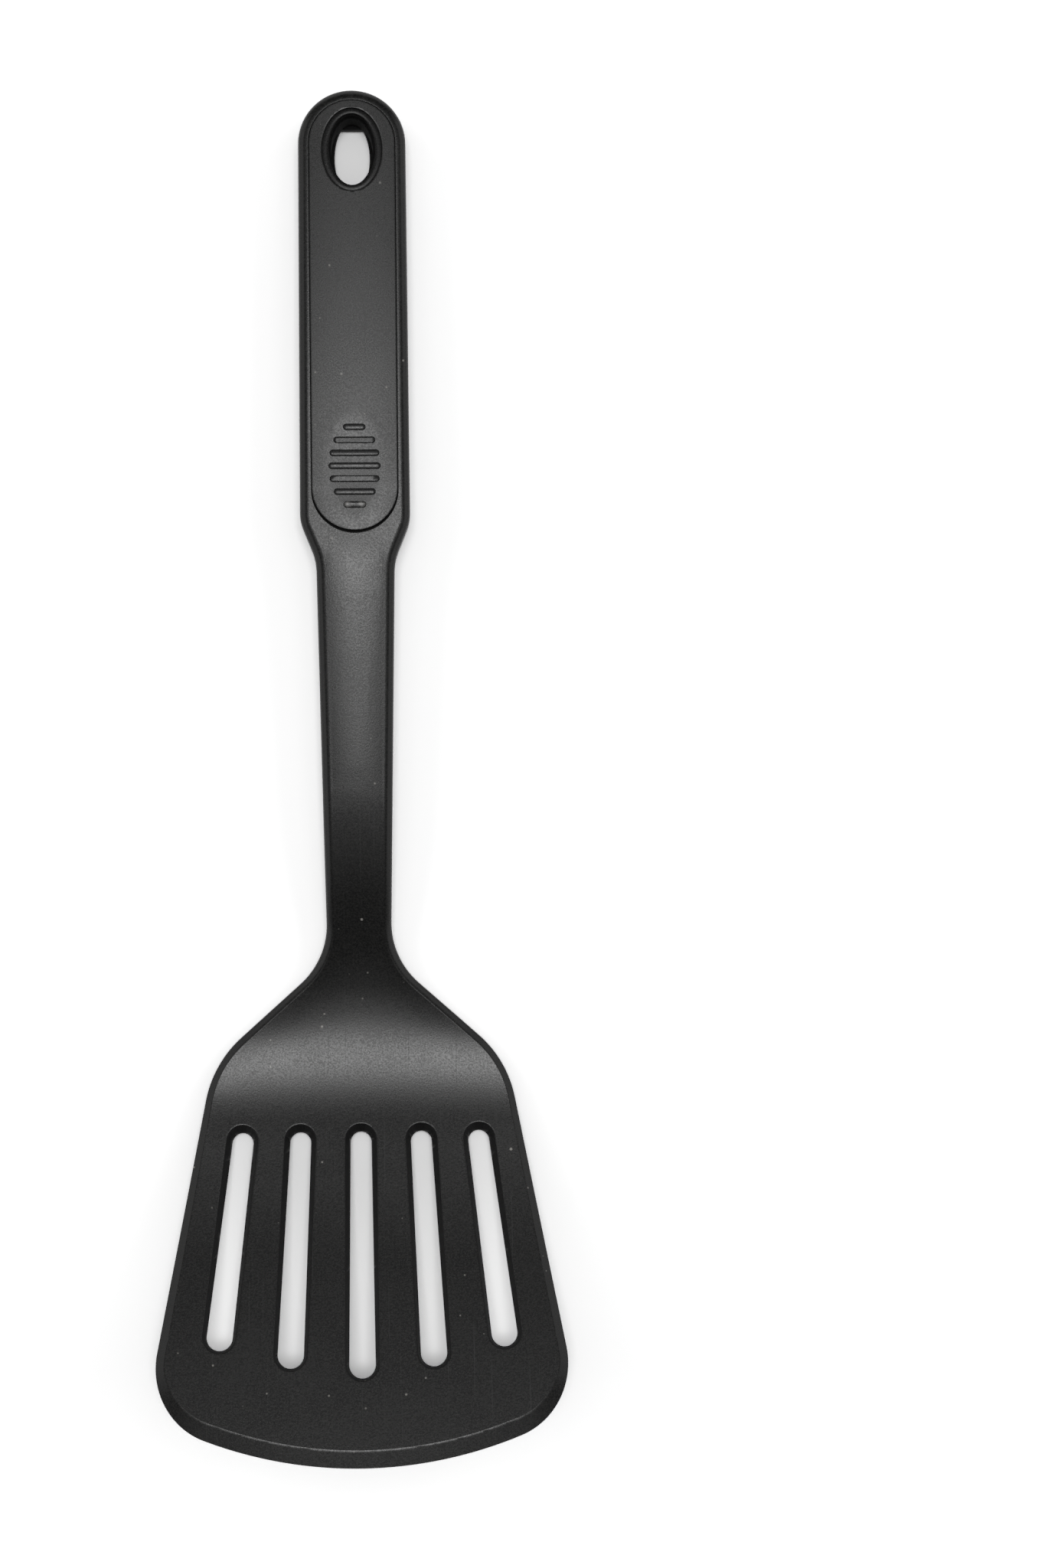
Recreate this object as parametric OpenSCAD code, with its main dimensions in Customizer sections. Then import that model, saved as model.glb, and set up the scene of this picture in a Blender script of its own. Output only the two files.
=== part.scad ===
// Slotted kitchen turner, moulded in black nylon and lying with its food side up.
// X runs across it, +Y towards the end of its handle and +Z up from the table.
// It rests on the heel of its blade and on the end of its handle.

/* [Overall] */
// Length in plan, from the blade's front edge to the end of the handle
overall_length = 320; // [310:1:340]

/* [Blade outline] */
// Greatest width of the blade, near its front corners
blade_width = 95.4; // [88:0.2:102]
// Radius of the curved front edge
front_edge_radius = 105; // [100:1:140]
// Radius of each front corner
front_corner_radius = 17.1; // [14:0.1:20]
// Width of the blade between its two shoulders
shoulder_width = 69.8; // [64:0.2:76]
// Distance of the shoulders from the front edge
shoulder_position = 91; // [85:0.5:95]
// Radius that rounds each shoulder
shoulder_radius = 26; // [16:0.5:30]

/* [Neck and shaft outline] */
// Distance of the neck's corner from the front edge
neck_position = 115.4; // [112.5:0.1:119.5]
// Width of the shaft where it meets the neck
neck_width = 15; // [13:0.25:18]
// Radius of the fillet between neck and shaft
neck_fillet = 19.2; // [12:0.2:21]
// Width of the shaft where it meets the handle
shaft_width = 18.4; // [16:0.2:20]

/* [Handle outline] */
// Length of the handle, from its corner to its round end
handle_length = 101.5; // [98:0.5:106]
// Width of the handle at its corner
handle_width = 25.8; // [24.5:0.1:27]
// Width of the handle at its round end
handle_end_width = 25.2; // [24.6:0.1:26]
// Length of the slanted run between shaft and handle
handle_shoulder_run = 9.1; // [7:0.1:12]
// Radius of the inside corner at the slanted run
shoulder_fillet_inside = 14.6; // [10:0.2:17]
// Radius of the outside corner at the slanted run
shoulder_fillet_outside = 10; // [7:0.2:13]

/* [Side view] */
// Angle of the blade's face to the table, in degrees
blade_tilt = 16.5; // [13:0.5:19]
// Angle of the neck above the heel, in degrees
neck_tilt = 12.6; // [10:0.2:16]
// Angle of the shaft, in degrees
shaft_tilt = 2.7; // [1.5:0.1:4]
// Angle at which the handle falls towards its end, in degrees
handle_fall = 1.05; // [0.6:0.05:1.6]
// Distance of the heel's bend from the front edge
heel_position = 97; // [93:0.5:101]
// Radius of the heel's bend on the food side
heel_bend_radius = 98; // [70:1:110]
// Radius of the heel's bend underneath
heel_under_radius = 115; // [90:1:130]
// Distance of the neck's bend from the front edge
neck_bend_position = 142; // [138:0.5:147]
// Radius of the neck's bend
neck_bend_radius = 165; // [120:5:200]
// Distance from the handle's corner to the bend in front of it
handle_bend_setback = 11.5; // [10:0.5:15]
// Radius of the bend in front of the handle
handle_bend_radius = 185; // [120:5:220]

/* [Thickness] */
// Thickness of the blade at its front edge, before the bevel
front_thickness = 1.8; // [1.5:0.1:2.4]
// Thickness at the corner of the heel's bend
heel_thickness = 4.4; // [3.8:0.1:5.2]
// Thickness at the corner of the neck's bend
neck_thickness = 8; // [6.5:0.1:9]
// Thickness of the shaft where it meets the handle
shaft_thickness = 8.6; // [7.5:0.1:10]
// Thickness of the handle at its corner
handle_thickness = 14; // [13:0.1:15.5]
// Thickness of the handle at its end
handle_end_thickness = 12.5; // [12.3:0.1:13.2]

/* [Edges] */
// Width of the bevel along the front edge
front_bevel_width = 4.1; // [3:0.1:5]
// Depth of the bevel along the front edge
front_bevel_depth = 1; // [0.6:0.05:1.1]
// Width of the bevel beside the blade's greatest width
side_bevel_width = 2; // [1.4:0.1:2.6]
// Depth of the bevel beside the blade's greatest width
side_bevel_depth = 0.8; // [0.5:0.05:1]
// Width of the bevel at the shoulders
shoulder_bevel_width = 1.4; // [1:0.1:2]
// Depth of the bevel at the shoulders
shoulder_bevel_depth = 0.7; // [0.4:0.05:1]
// Radius of the upper edges of shaft and handle
upper_edge_radius = 1.8; // [1.2:0.1:2.2]
// Radius of the edges under the blade
blade_under_edge = 0.35; // [0.2:0.05:0.45]
// Radius of the edges under the heel
heel_under_edge = 1; // [0.6:0.1:1.4]
// Radius of the edges under the shaft
shaft_under_edge = 3; // [2:0.1:3.4]
// Radius of the edges under the handle
handle_under_edge = 4.6; // [3:0.1:5]
// Fall of the heel's hollow face below its edges
heel_dish = 0.5; // [0:0.05:0.8]
// Rise of the shaft's crowned face above its edges
shaft_crown = 0.45; // [0.2:0.05:0.8]
// Fall of the handle's rounded back below its edges
handle_belly = 0.3; // [0:0.05:0.5]

/* [Slots] */
// Width of each slot at the blade's face, at the slot's lower end
slot_width = 7.6; // [7:0.1:8]
// Width of each slot at the blade's face, at the slot's upper end
slot_upper_width = 7.2; // [6.6:0.1:7.6]
// Draft of the slots' walls, in degrees
slot_draft = 17.5; // [12:0.5:20]
// Distance from the front edge to the upper ends of the slots, along the blade
slot_top = 79.8; // [75:0.2:81.4]
// Distance from the front edge to the lower end of the middle slot, along the blade
slot_bottom = 20.2; // [17:0.1:26]
// Rise of the lower ends of the two inner slots above the middle one
inner_slot_rise = 2.5; // [0:0.1:5]
// Rise of the lower ends of the two outer slots above the middle one
outer_slot_rise = 6.8; // [4:0.1:10]
// Distance from the middle of the blade to the upper ends of the inner slots
inner_slot_offset = 14.1; // [12.5:0.05:14.5]
// Distance from the middle of the blade to the upper ends of the outer slots
outer_slot_offset = 27.5; // [26:0.1:28]
// Angle of the inner slots to the blade's middle line, in degrees
inner_slot_fan = 2.7; // [1:0.05:4]
// Angle of the outer slots to the blade's middle line, in degrees
outer_slot_fan = 6.5; // [5:0.05:8]

/* [Handle cover] */
// Width of the rim that the handle keeps around the cover
cover_rim = 2.4; // [2:0.1:2.7]
// How far the cover's round lower end reaches past the handle's corner
cover_reach = 2.1; // [0:0.1:3]
// Thickness of the cover at its edge
cover_thickness = 2.2; // [1.8:0.1:2.6]
// Rise of the cover's crowned face above its edges
cover_crown = 0.25; // [0.1:0.05:0.5]
// Width of the ledge that carries the cover
cover_ledge = 1.4; // [1:0.1:1.8]
// Depth of the hollow under the cover
hollow_depth = 7.4; // [5:0.1:7.8]
// Number of cross ribs in the hollow
rib_count = 4; // [2:1:6]
// Thickness of each cross rib
rib_thickness = 1.6; // [1.2:0.1:2]
// Diameter of each pin under the cover
pin_diameter = 3; // [2.4:0.1:3.4]
// Length of each pin under the cover
pin_length = 5; // [3:0.1:5.4]
// Wall of each socket that takes a pin
socket_wall = 1.5; // [1.2:0.1:1.9]

/* [Grip bars] */
// Number of raised bars in the thumb rest
bar_count = 7; // [5:2:7]
// Distance from one bar to the next
bar_pitch = 3.03; // [2.8:0.01:3.1]
// Width of each bar
bar_width = 1.25; // [1:0.05:1.6]
// Height of each bar above the cover's face
bar_height = 0.35; // [0.2:0.05:0.5]
// Length of the longest bar
longest_bar = 11.9; // [10:0.1:13]
// Length of the oval that the bars fill
bar_field_length = 20; // [19.4:0.1:22]
// Distance from the cover's lower end to the middle of the bars
bar_field_position = 15.2; // [13:0.1:18]
// Depth of the thumb rest's hollow
dish_depth = 0.35; // [0.2:0.05:0.5]
// Width of the thumb rest
dish_width = 14; // [13.5:0.1:15.5]
// Length of the thumb rest
dish_length = 25; // [23:0.1:26]

/* [Hanging eye] */
// Distance from the handle's end to the middle of the eye
eye_position = 14.2; // [13.8:0.1:16]
// Width of the eye's flange
eye_width = 14.1; // [13.6:0.1:14.4]
// Length of the eye's flange
eye_length = 19.4; // [19:0.1:19.8]
// Width of the opening in the flange
eye_opening_width = 10.7; // [10.3:0.1:11]
// Length of the opening in the flange
eye_opening_length = 16.5; // [16:0.1:16.8]
// How far the tube under the flange lies inside the flange's edge
eye_flange_step = 0.7; // [0.5:0.05:0.9]
// Step of the opening below the flange
eye_bore_step = 0.4; // [0.2:0.05:0.5]
// Width of the opening in the handle's back
back_opening_width = 8.4; // [7.6:0.1:8.8]
// Length of the oval that the back opening is cut from
back_opening_length = 17.4; // [16.8:0.1:18]
// Distance from the eye's middle to each flat end of the back opening
back_opening_flat = 6.7; // [6.2:0.1:7]
// Length of the tube under the flange
eye_tube_length = 7.8; // [6:0.1:8]

/* [Fits] */
// Gap between the cover and its pocket, and between the eye and its seats
parting_gap = 0.15; // [0.1:0.01:0.2]
// Gap around each pin in its socket
pin_gap = 0.1; // [0.05:0.01:0.15]

/* [Hidden] */
$fn = 64;

// How far a cut runs past the face that it opens
overrun = 1;
// Longest straight step between two sections of the body
section_step = 5;
// Number of sections along the front edge, from its middle to a corner
front_steps = 8;
// Number of sections around each front corner and around the handle's end
corner_steps = 10;
// Number of sections around a fillet of the outline
fillet_steps = 6;
// How near the middle the outline starts and ends, as a share of its first step
tip_share = 0.1;
// Number of steps that round or bevel each long edge
edge_steps = 3;
// Number of flats around each oval
oval_sides = 48;
// Points across a crowned face, as shares of its half width
crown_shares = [0.6, 0, -0.6];

nylon = "#262626";
cover_black = "#2e2e2e";

half_length = overall_length / 2;
front_y = -half_length;
shoulder_y = front_y + shoulder_position;
neck_y = front_y + neck_position;
handle_y = half_length - handle_length;
shaft_y = handle_y - handle_shoulder_run;
heel_y = front_y + heel_position;
neck_bend_y = front_y + neck_bend_position;
handle_bend_y = handle_y - handle_bend_setback;

// The line of the food side, as [y, z, radius] at each bend, with the heel's corner at zero height.
neck_rise = (neck_bend_position - heel_position) * tan(neck_tilt);
shaft_rise = neck_rise + (handle_bend_y - neck_bend_y) * tan(shaft_tilt);
end_rise = shaft_rise - (half_length - handle_bend_y) * tan(handle_fall);
face_line = [
    [front_y, heel_position * tan(blade_tilt), 0],
    [heel_y, 0, heel_bend_radius],
    [neck_bend_y, neck_rise, neck_bend_radius],
    [handle_bend_y, shaft_rise, handle_bend_radius],
    [half_length, end_rise, 0]
];

// The line underneath follows the food side's corners, one thickness below.
back_line = [
    under(front_y, front_thickness, 0),
    under(heel_y, heel_thickness, heel_under_radius),
    under(neck_bend_y, neck_thickness, neck_bend_radius / 2),
    under(shaft_y - handle_shoulder_run / 2, shaft_thickness, 2 * shoulder_fillet_inside),
    under(handle_y, handle_thickness, 2 * shoulder_fillet_outside),
    under(half_length, handle_end_thickness, 0)
];

function under(y, thickness, radius) =
    [y, lookup(y, [for (p = face_line) [p[0], p[1]]]) - thickness, radius];

function slope(a, b) = atan2(b[1] - a[1], b[0] - a[0]);

// Height at y of a line whose straight runs are rounded at their corners.
function line_z(line, y) =
    let (
        bends = [
            for (i = [1:len(line) - 2])
            let (
                before = slope(line[i - 1], line[i]),
                after = slope(line[i], line[i + 1]),
                side = sign(after - before),
                radius = line[i][2],
                reach = radius * tan(abs(after - before) / 2),
                start = [line[i][0] - reach * cos(before), line[i][1] - reach * sin(before)],
                centre = start + side * radius * [-sin(before), cos(before)]
            )
            if (y > start[0] && y < line[i][0] + reach * cos(after))
            centre[1] - side * sqrt(radius * radius - pow(y - centre[0], 2))
        ]
    )
    len(bends) > 0 ? bends[0] : lookup(y, [for (p = line) [p[0], p[1]]]);

function face_z(y) = line_z(face_line, y);
function back_z(y) = line_z(back_line, y);

// Outline points are [x, y, angle], where angle is the direction that the edge faces.
// A negative radius makes a hollow corner.
function arc(centre, radius, from, to, steps) =
    [
        for (i = [0:steps])
        let (a = from + (to - from) * i / steps)
        [centre[0] + radius * cos(a), centre[1] + radius * sin(a), a]
    ];

// The largest radius whose fillet still fits on both runs beside a corner.
function fitting_radius(a, b, c, radius) =
    min(radius, min(norm(b - a), norm(c - b)) / 2 / tan(abs(slope(b, c) - slope(a, b)) / 2));

function fillet(a, b, c, radius) =
    let (
        before = slope(a, b),
        after = slope(b, c),
        side = sign(after - before),
        r = fitting_radius(a, b, c, radius),
        start = b - r * tan(abs(after - before) / 2) * [cos(before), sin(before)],
        centre = start - side * r * [cos(before - 90), sin(before - 90)]
    )
    arc(centre, side * r, before - 90, after - 90, fillet_steps);

// Joins two outline points by a straight run, in steps no longer than section_step.
function run(a, b) =
    let (steps = ceil(norm([b[0] - a[0], b[1] - a[1]]) / section_step))
    [
        for (i = [1:steps - 1])
        let (share = i / steps)
        [a[0] + (b[0] - a[0]) * share, a[1] + (b[1] - a[1]) * share, a[2]]
    ];

function last(list) = list[len(list) - 1];

// A point a little way from the outline's middle point towards the next one.
function beside_middle(middle, next) = middle + (next - middle) * tip_share;

// Angle on a circle, on its +X side, where a straight line through p touches it.
function touch_angle(centre, radius, p) =
    let (
        d = p - centre,
        side = sign(d[1])
    )
    atan2(d[1], d[0]) - side * acos(radius / norm(d));

front_centre = [0, front_y + front_edge_radius];
corner_x = blade_width / 2 - front_corner_radius;
corner_centre = [
    corner_x,
    front_centre[1] - sqrt(pow(front_edge_radius - front_corner_radius, 2) - corner_x * corner_x)
];
corner_angle = slope(front_centre, corner_centre);
shoulder_corner = [shoulder_width / 2, shoulder_y];
neck_corner = [neck_width / 2, neck_y];
shaft_corner = [shaft_width / 2, shaft_y];
handle_corner = [handle_width / 2, handle_y];
end_radius = handle_end_width / 2;
end_centre = [0, half_length - end_radius];
side_angle = touch_angle(corner_centre, front_corner_radius, shoulder_corner);
side_start = corner_centre + front_corner_radius * [cos(side_angle), sin(side_angle)];
handle_angle = touch_angle(end_centre, end_radius, handle_corner);
handle_finish = end_centre + end_radius * [cos(handle_angle), sin(handle_angle)];

front_arc = arc(front_centre, front_edge_radius, -90, corner_angle, front_steps);
corner_arc = arc(corner_centre, front_corner_radius, corner_angle, side_angle, corner_steps);
shoulder_arc = fillet(side_start, shoulder_corner, neck_corner, shoulder_radius);
neck_arc = fillet(shoulder_corner, neck_corner, shaft_corner, neck_fillet);
shaft_arc = fillet(neck_corner, shaft_corner, handle_corner, shoulder_fillet_inside);
handle_arc = fillet(shaft_corner, handle_corner, handle_finish, shoulder_fillet_outside);
end_arc = arc(end_centre, end_radius, handle_angle, 90, corner_steps);

// The right half of the outline, from beside the front edge's middle to beside the handle's end.
half_outline = concat(
    [beside_middle(front_arc[0], front_arc[1])],
    [for (i = [1:front_steps - 1]) front_arc[i]],
    corner_arc,
    run(last(corner_arc), shoulder_arc[0]),
    shoulder_arc,
    run(last(shoulder_arc), neck_arc[0]),
    neck_arc,
    run(last(neck_arc), shaft_arc[0]),
    shaft_arc,
    run(last(shaft_arc), handle_arc[0]),
    handle_arc,
    run(last(handle_arc), end_arc[0]),
    [for (i = [0:corner_steps - 1]) end_arc[i]],
    [beside_middle(end_arc[corner_steps], end_arc[corner_steps - 1])]
);

// The part is raised so that its lowest point, under the heel, stands on the table.
table_z = min([for (p = half_outline) back_z(p[1]) - back_crown(p[1])]);

// Places along the length where the shape of the edges changes.
bevel_y = front_y + front_bevel_width + side_bevel_width;
widest_y = corner_centre[1];
shaft_start_y = neck_y + neck_fillet;

function along(y, front, side, shoulder, shaft, handle) =
    lookup(y, [
        [bevel_y, front],
        [widest_y, side],
        [shoulder_y, shoulder],
        [shaft_start_y, shaft],
        [shaft_y, shaft],
        [handle_y, handle]
    ]);

function upper_width(y) =
    along(
        y, front_bevel_width, side_bevel_width, shoulder_bevel_width,
        upper_edge_radius, upper_edge_radius
    );
function upper_depth(y) =
    along(
        y, front_bevel_depth, side_bevel_depth, shoulder_bevel_depth,
        upper_edge_radius, upper_edge_radius
    );
function under_edge(y) =
    along(y, blade_under_edge, blade_under_edge, heel_under_edge, shaft_under_edge, handle_under_edge);
function roundness(y) = along(y, 0, 0, 0, 1, 1);
function face_crown(y) =
    lookup(y, [
        [shoulder_y - shoulder_radius, 0],
        [heel_y + 2 * heel_thickness, -heel_dish],
        [shaft_start_y, shaft_crown],
        [shaft_y, shaft_crown],
        [handle_y, 0]
    ]);
function back_crown(y) =
    lookup(y, [[shaft_y, 0], [handle_y, handle_belly], [end_centre[1], handle_belly], [half_length, 0]]);

// Point k of an edge, moved in from the outline and up or down from the side wall.
function edge_point(p, k, width, depth, round_share, face) =
    let (
        share = k / edge_steps,
        t = 90 * share,
        moved = width * (share + round_share * (1 - cos(t) - share)),
        left = depth * (1 - share - round_share * (sin(t) - share)),
        y = p[1] - moved * sin(p[2])
    )
    [p[0] - moved * cos(p[2]), y, face ? face_z(y) - left : back_z(y) + left];

function mirrored(list) = [for (i = [len(list) - 1:-1:0]) [-list[i][0], list[i][1], list[i][2]]];

// One section: over the food side from right to left, then back underneath.
function section(p) =
    let (
        upper = [
            for (k = [0:edge_steps])
            edge_point(p, k, upper_width(p[1]), upper_depth(p[1]), roundness(p[1]), true)
        ],
        lower = [
            for (k = [0:edge_steps])
            edge_point(p, k, under_edge(p[1]), under_edge(p[1]), 1, false)
        ],
        a = last(upper),
        b = last(lower)
    )
    concat(
        upper,
        [for (s = crown_shares) [a[0] * s, a[1], a[2] + face_crown(a[1]) * (1 - s * s)]],
        mirrored(upper),
        [for (q = lower) [-q[0], q[1], q[2]]],
        [for (s = crown_shares) [-b[0] * s, b[1], b[2] - back_crown(b[1]) * (1 - s * s)]],
        [for (i = [edge_steps:-1:0]) lower[i]]
    );

// Number of points over one side of a section.
side_points = 2 * (edge_steps + 1) + len(crown_shares);

// Closes the first or last section, in strips across it.
function cap(at) =
    [
        for (o = [at, at + side_points])
        each concat(
            [
                for (k = [0:edge_steps - 2])
                [o + k, o + k + 1, o + side_points - 2 - k, o + side_points - 1 - k]
            ],
            [for (j = [edge_steps:side_points - edge_steps - 1]) [o + edge_steps - 1, o + j, o + j + 1]]
        ),
        [at + 2 * side_points - 1, at, at + side_points - 1, at + side_points]
    ];

function reversed(list) = [for (i = [len(list) - 1:-1:0]) list[i]];

module blank() {
    sections = [for (p = half_outline) section(p)];
    round_points = 2 * side_points;
    last_section = (len(sections) - 1) * round_points;
    polyhedron(
        points = [for (s = sections) each s],
        faces = concat(
            [for (f = cap(0)) reversed(f)],
            [
                for (i = [0:len(sections) - 2])
                for (j = [0:round_points - 1])
                let (
                    a = i * round_points + j,
                    b = i * round_points + (j + 1) % round_points
                )
                each [[a, b, a + round_points], [b, b + round_points, a + round_points]]
            ],
            cap(last_section)
        )
    );
}

// Stands its children on the blade's face, with y measured up the blade from the front edge.
module on_blade() {
    translate([0, front_y, face_line[0][1]]) rotate([-blade_tilt, 0, 0]) children();
}

// Stands its children on the handle's face, with y measured back from the handle's end.
module on_handle() {
    translate([0, half_length, end_rise]) rotate([-handle_fall, 0, 0]) children();
}

// A slot with drafted walls, whose lower end lies at y = 0 and which runs up along y.
module slot_cut(length, depth) {
    narrowing = tan(slot_draft);
    lower = slot_width / 2;
    upper = slot_upper_width / 2;
    hull()
        for (end = [[lower, lower], [length - upper, upper]])
            translate([0, end[0], -depth]) cylinder(
                h = depth + overrun,
                r1 = end[1] - depth * narrowing,
                r2 = end[1] + overrun * narrowing
            );
}

module slots() {
    depth = heel_thickness + overrun;
    offsets = [0, inner_slot_offset, outer_slot_offset];
    fans = [0, inner_slot_fan, outer_slot_fan];
    rises = [0, inner_slot_rise, outer_slot_rise];
    on_blade()
        for (i = [-2:2]) {
            n = abs(i);
            length = (slot_top - slot_bottom - rises[n]) / cos(fans[n]);
            translate([sign(i) * offsets[n], slot_top, 0])
                rotate([0, 0, sign(i) * fans[n]]) translate([0, -length, 0])
                    slot_cut(length, depth);
        }
}

// A stadium along y, from the handle's end backwards.
module stadium(width, from, to, height) {
    translate([0, 0, -height]) {
        for (y = [from - width / 2, to + width / 2])
            translate([0, y, 0]) cylinder(h = height, d = width);
        translate([-width / 2, to + width / 2, 0]) cube([width, from - to - width, height]);
    }
}

// An oval outline around the middle.
module oval(width, length) {
    polygon([
        for (i = [1:oval_sides])
        let (a = 360 * i / oval_sides)
        [width / 2 * cos(a), length / 2 * sin(a)]
    ]);
}

// An oval like the eye's flange, drawn in or out all round by grow, from z down by height.
module eye_oval(grow, z, height) {
    translate([0, -eye_position, z - height]) linear_extrude(height = height)
        oval(eye_width + 2 * grow, eye_length + 2 * grow);
}

// Ends of the cover, as distances from the handle's end along its face.
cover_width = handle_end_width - 2 * cover_rim;
cover_from = -cover_rim;
cover_to = -handle_length - cover_reach;
hollow_width = cover_width - 2 * cover_ledge;
hollow_from = -eye_position - eye_length / 2 - 2 * cover_ledge;
hollow_to = cover_to + cover_ledge;
socket_diameter = pin_diameter + 2 * pin_gap + 2 * socket_wall;
rib_spacing = (hollow_from - hollow_to) / (rib_count + 1);
// A pin stands in every second bay between the ribs.
pin_places = [for (i = [0:2:rib_count]) hollow_to + rib_spacing * (i + 1 / 2)];
bar_field_y = cover_to + bar_field_position;
eye_floor = -cover_thickness - eye_tube_length;

module turner_body() {
    color(nylon) translate([0, 0, -table_z]) {
        difference() {
            blank();
            slots();
            on_handle() {
                translate([0, 0, overrun])
                    stadium(cover_width, cover_from, cover_to, cover_thickness + overrun);
                stadium(hollow_width, hollow_from, hollow_to, cover_thickness + hollow_depth);
                eye_oval(parting_gap - eye_flange_step, 0, -eye_floor);
                back_opening();
            }
        }
        on_handle() {
            cross_ribs();
            sockets();
        }
    }
}

// The opening through the handle's back, an oval with two flat ends.
module back_opening() {
    below = handle_thickness + overrun;
    translate([0, -eye_position, -below]) linear_extrude(height = below)
        intersection() {
            oval(back_opening_width, back_opening_length);
            square([2 * back_opening_width, 2 * back_opening_flat], center = true);
        }
}

module cross_ribs() {
    for (i = [1:rib_count])
        translate([
            -hollow_width / 2 - cover_ledge / 2,
            hollow_to + i * rib_spacing - rib_thickness / 2,
            -cover_thickness - hollow_depth - cover_ledge / 2
        ])
            cube([hollow_width + cover_ledge, rib_thickness, hollow_depth + cover_ledge / 2]);
}

module sockets() {
    for (y = pin_places)
        translate([0, y, -cover_thickness - hollow_depth - cover_ledge / 2]) difference() {
            cylinder(h = hollow_depth + cover_ledge / 2, d = socket_diameter);
            translate([0, 0, hollow_depth + cover_ledge / 2 - pin_length - 2 * pin_gap])
                cylinder(h = pin_length + overrun, d = pin_diameter + 2 * pin_gap);
        }
}

// A cylinder along the handle whose top is a shallow crown over the given width.
module crown(width, rise, above) {
    radius = width * width / rise / 8 + rise / 2;
    translate([0, overrun, above + rise - radius]) rotate([90, 0, 0])
        cylinder(h = handle_length + 2 * overrun, r = radius, $fn = 4 * $fn);
}

// A shallow hollow with an oval rim, cut by the underside of a flat egg shape.
module dish() {
    half_height = 4 * dish_depth;
    rim_share = sqrt(1 - pow(1 - dish_depth / half_height, 2));
    translate([0, bar_field_y, cover_crown + half_height - dish_depth])
        scale([dish_width / rim_share, dish_length / rim_share, 2 * half_height])
            sphere(d = 1, $fn = 48);
}

// The bars are as long as the oval field is wide at their place.
module bars() {
    middle = (bar_count - 1) / 2;
    for (i = [0:bar_count - 1]) {
        place = (i - middle) * bar_pitch;
        length = longest_bar * sqrt(1 - pow(2 * place / bar_field_length, 2));
        translate([0, bar_field_y + place, -cover_thickness / 2]) {
            for (s = [-1, 1])
                translate([s * (length - bar_width) / 2, 0, 0]) cylinder(h = cover_thickness, d = bar_width);
            translate([-(length - bar_width) / 2, -bar_width / 2, 0])
                cube([length - bar_width, bar_width, cover_thickness]);
        }
    }
}

module handle_cover() {
    width = cover_width - 2 * parting_gap;
    color(cover_black) translate([0, 0, -table_z]) on_handle() {
        difference() {
            intersection() {
                translate([0, 0, overrun])
                    stadium(width, cover_from - parting_gap, cover_to + parting_gap,
                        cover_thickness + overrun);
                crown(width, cover_crown, 0);
            }
            dish();
            eye_oval(parting_gap, overrun, cover_thickness + 2 * overrun);
        }
        intersection() {
            bars();
            crown(width, cover_crown, bar_height - dish_depth / 2);
        }
        for (y = pin_places)
            translate([0, y, -cover_thickness - pin_length])
                cylinder(h = pin_length + cover_thickness / 2, d = pin_diameter);
    }
}

module hanging_eye() {
    color(nylon) translate([0, 0, -table_z]) on_handle()
        difference() {
            union() {
                eye_oval(0, 0, cover_thickness);
                eye_oval(-eye_flange_step, 0, -eye_floor);
            }
            translate([0, -eye_position, -cover_thickness]) linear_extrude(height = 2 * cover_thickness)
                oval(eye_opening_width, eye_opening_length);
            translate([0, -eye_position, eye_floor - overrun])
                linear_extrude(height = overrun - eye_floor)
                    oval(eye_opening_width - 2 * eye_bore_step, eye_opening_length - 2 * eye_bore_step);
        }
}

turner_body();
handle_cover();
hanging_eye();
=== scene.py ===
"""Slotted kitchen turner of black nylon, lying on a pale table with its food side up."""
import math

import bmesh
import bpy
from bpy.props import FloatProperty, IntProperty, PointerProperty, StringProperty
from mathutils import Matrix, Vector


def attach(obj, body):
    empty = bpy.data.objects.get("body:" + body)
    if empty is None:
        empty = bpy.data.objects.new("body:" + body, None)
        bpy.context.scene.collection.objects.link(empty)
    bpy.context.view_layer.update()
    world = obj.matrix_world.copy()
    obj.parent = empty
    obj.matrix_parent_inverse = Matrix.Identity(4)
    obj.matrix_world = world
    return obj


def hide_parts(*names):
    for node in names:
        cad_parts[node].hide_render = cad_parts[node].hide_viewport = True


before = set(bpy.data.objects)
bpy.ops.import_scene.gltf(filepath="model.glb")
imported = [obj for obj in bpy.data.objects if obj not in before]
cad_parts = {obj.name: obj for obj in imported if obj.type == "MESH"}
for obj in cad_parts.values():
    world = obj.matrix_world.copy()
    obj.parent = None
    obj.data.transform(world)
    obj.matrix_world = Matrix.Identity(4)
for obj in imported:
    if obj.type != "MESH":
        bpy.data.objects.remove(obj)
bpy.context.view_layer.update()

bl_info = {
    "name": "Slotted kitchen turner",
    "version": (1, 0, 0),
    "blender": (4, 5, 0),
    "location": "View3D > Sidebar > Turner",
    "description": "Black nylon turner with a slotted blade, an inset handle cover and a hanging eye",
    "category": "Add Mesh",
}

MM = 0.001
WELD = 1e-6
# Depth of the flat block that the body is shaped in, before it is bent to its side view.
BLOCK = 40 * MM
# Straight steps in one turn of each kind of loop.
SLOT_SEGMENTS, BORE_SEGMENTS, BAR_SEGMENTS, INLAY_SEGMENTS = 36, 72, 20, 96
# Widths of the narrow flat rings that keep an edge crisp.
FACE_RING, UNDER_RING, COVER_RING, POCKET_RING, EYE_RING = (
    width * MM for width in (0.12, 0.3, 0.25, 0.1, 0.4))
# Radii of the smallest softened edges.
BAR_EDGE, EYE_HOLE_EDGE, BACK_EDGE = (radius * MM for radius in (0.07, 0.08, 0.3))
# Distances between the cuts that let the cover bend, along it and across it.
COVER_GRID = 0.9 * MM, 1.2 * MM
# How pale the crease of the blade's bevel is painted, partly wear and partly painted highlight, and how
# strongly the ends of the lowest grip bar get a painted highlight.
CREASE_WEAR_AND_HIGHLIGHT, BAR_HIGHLIGHT = 0.07, 2
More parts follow.
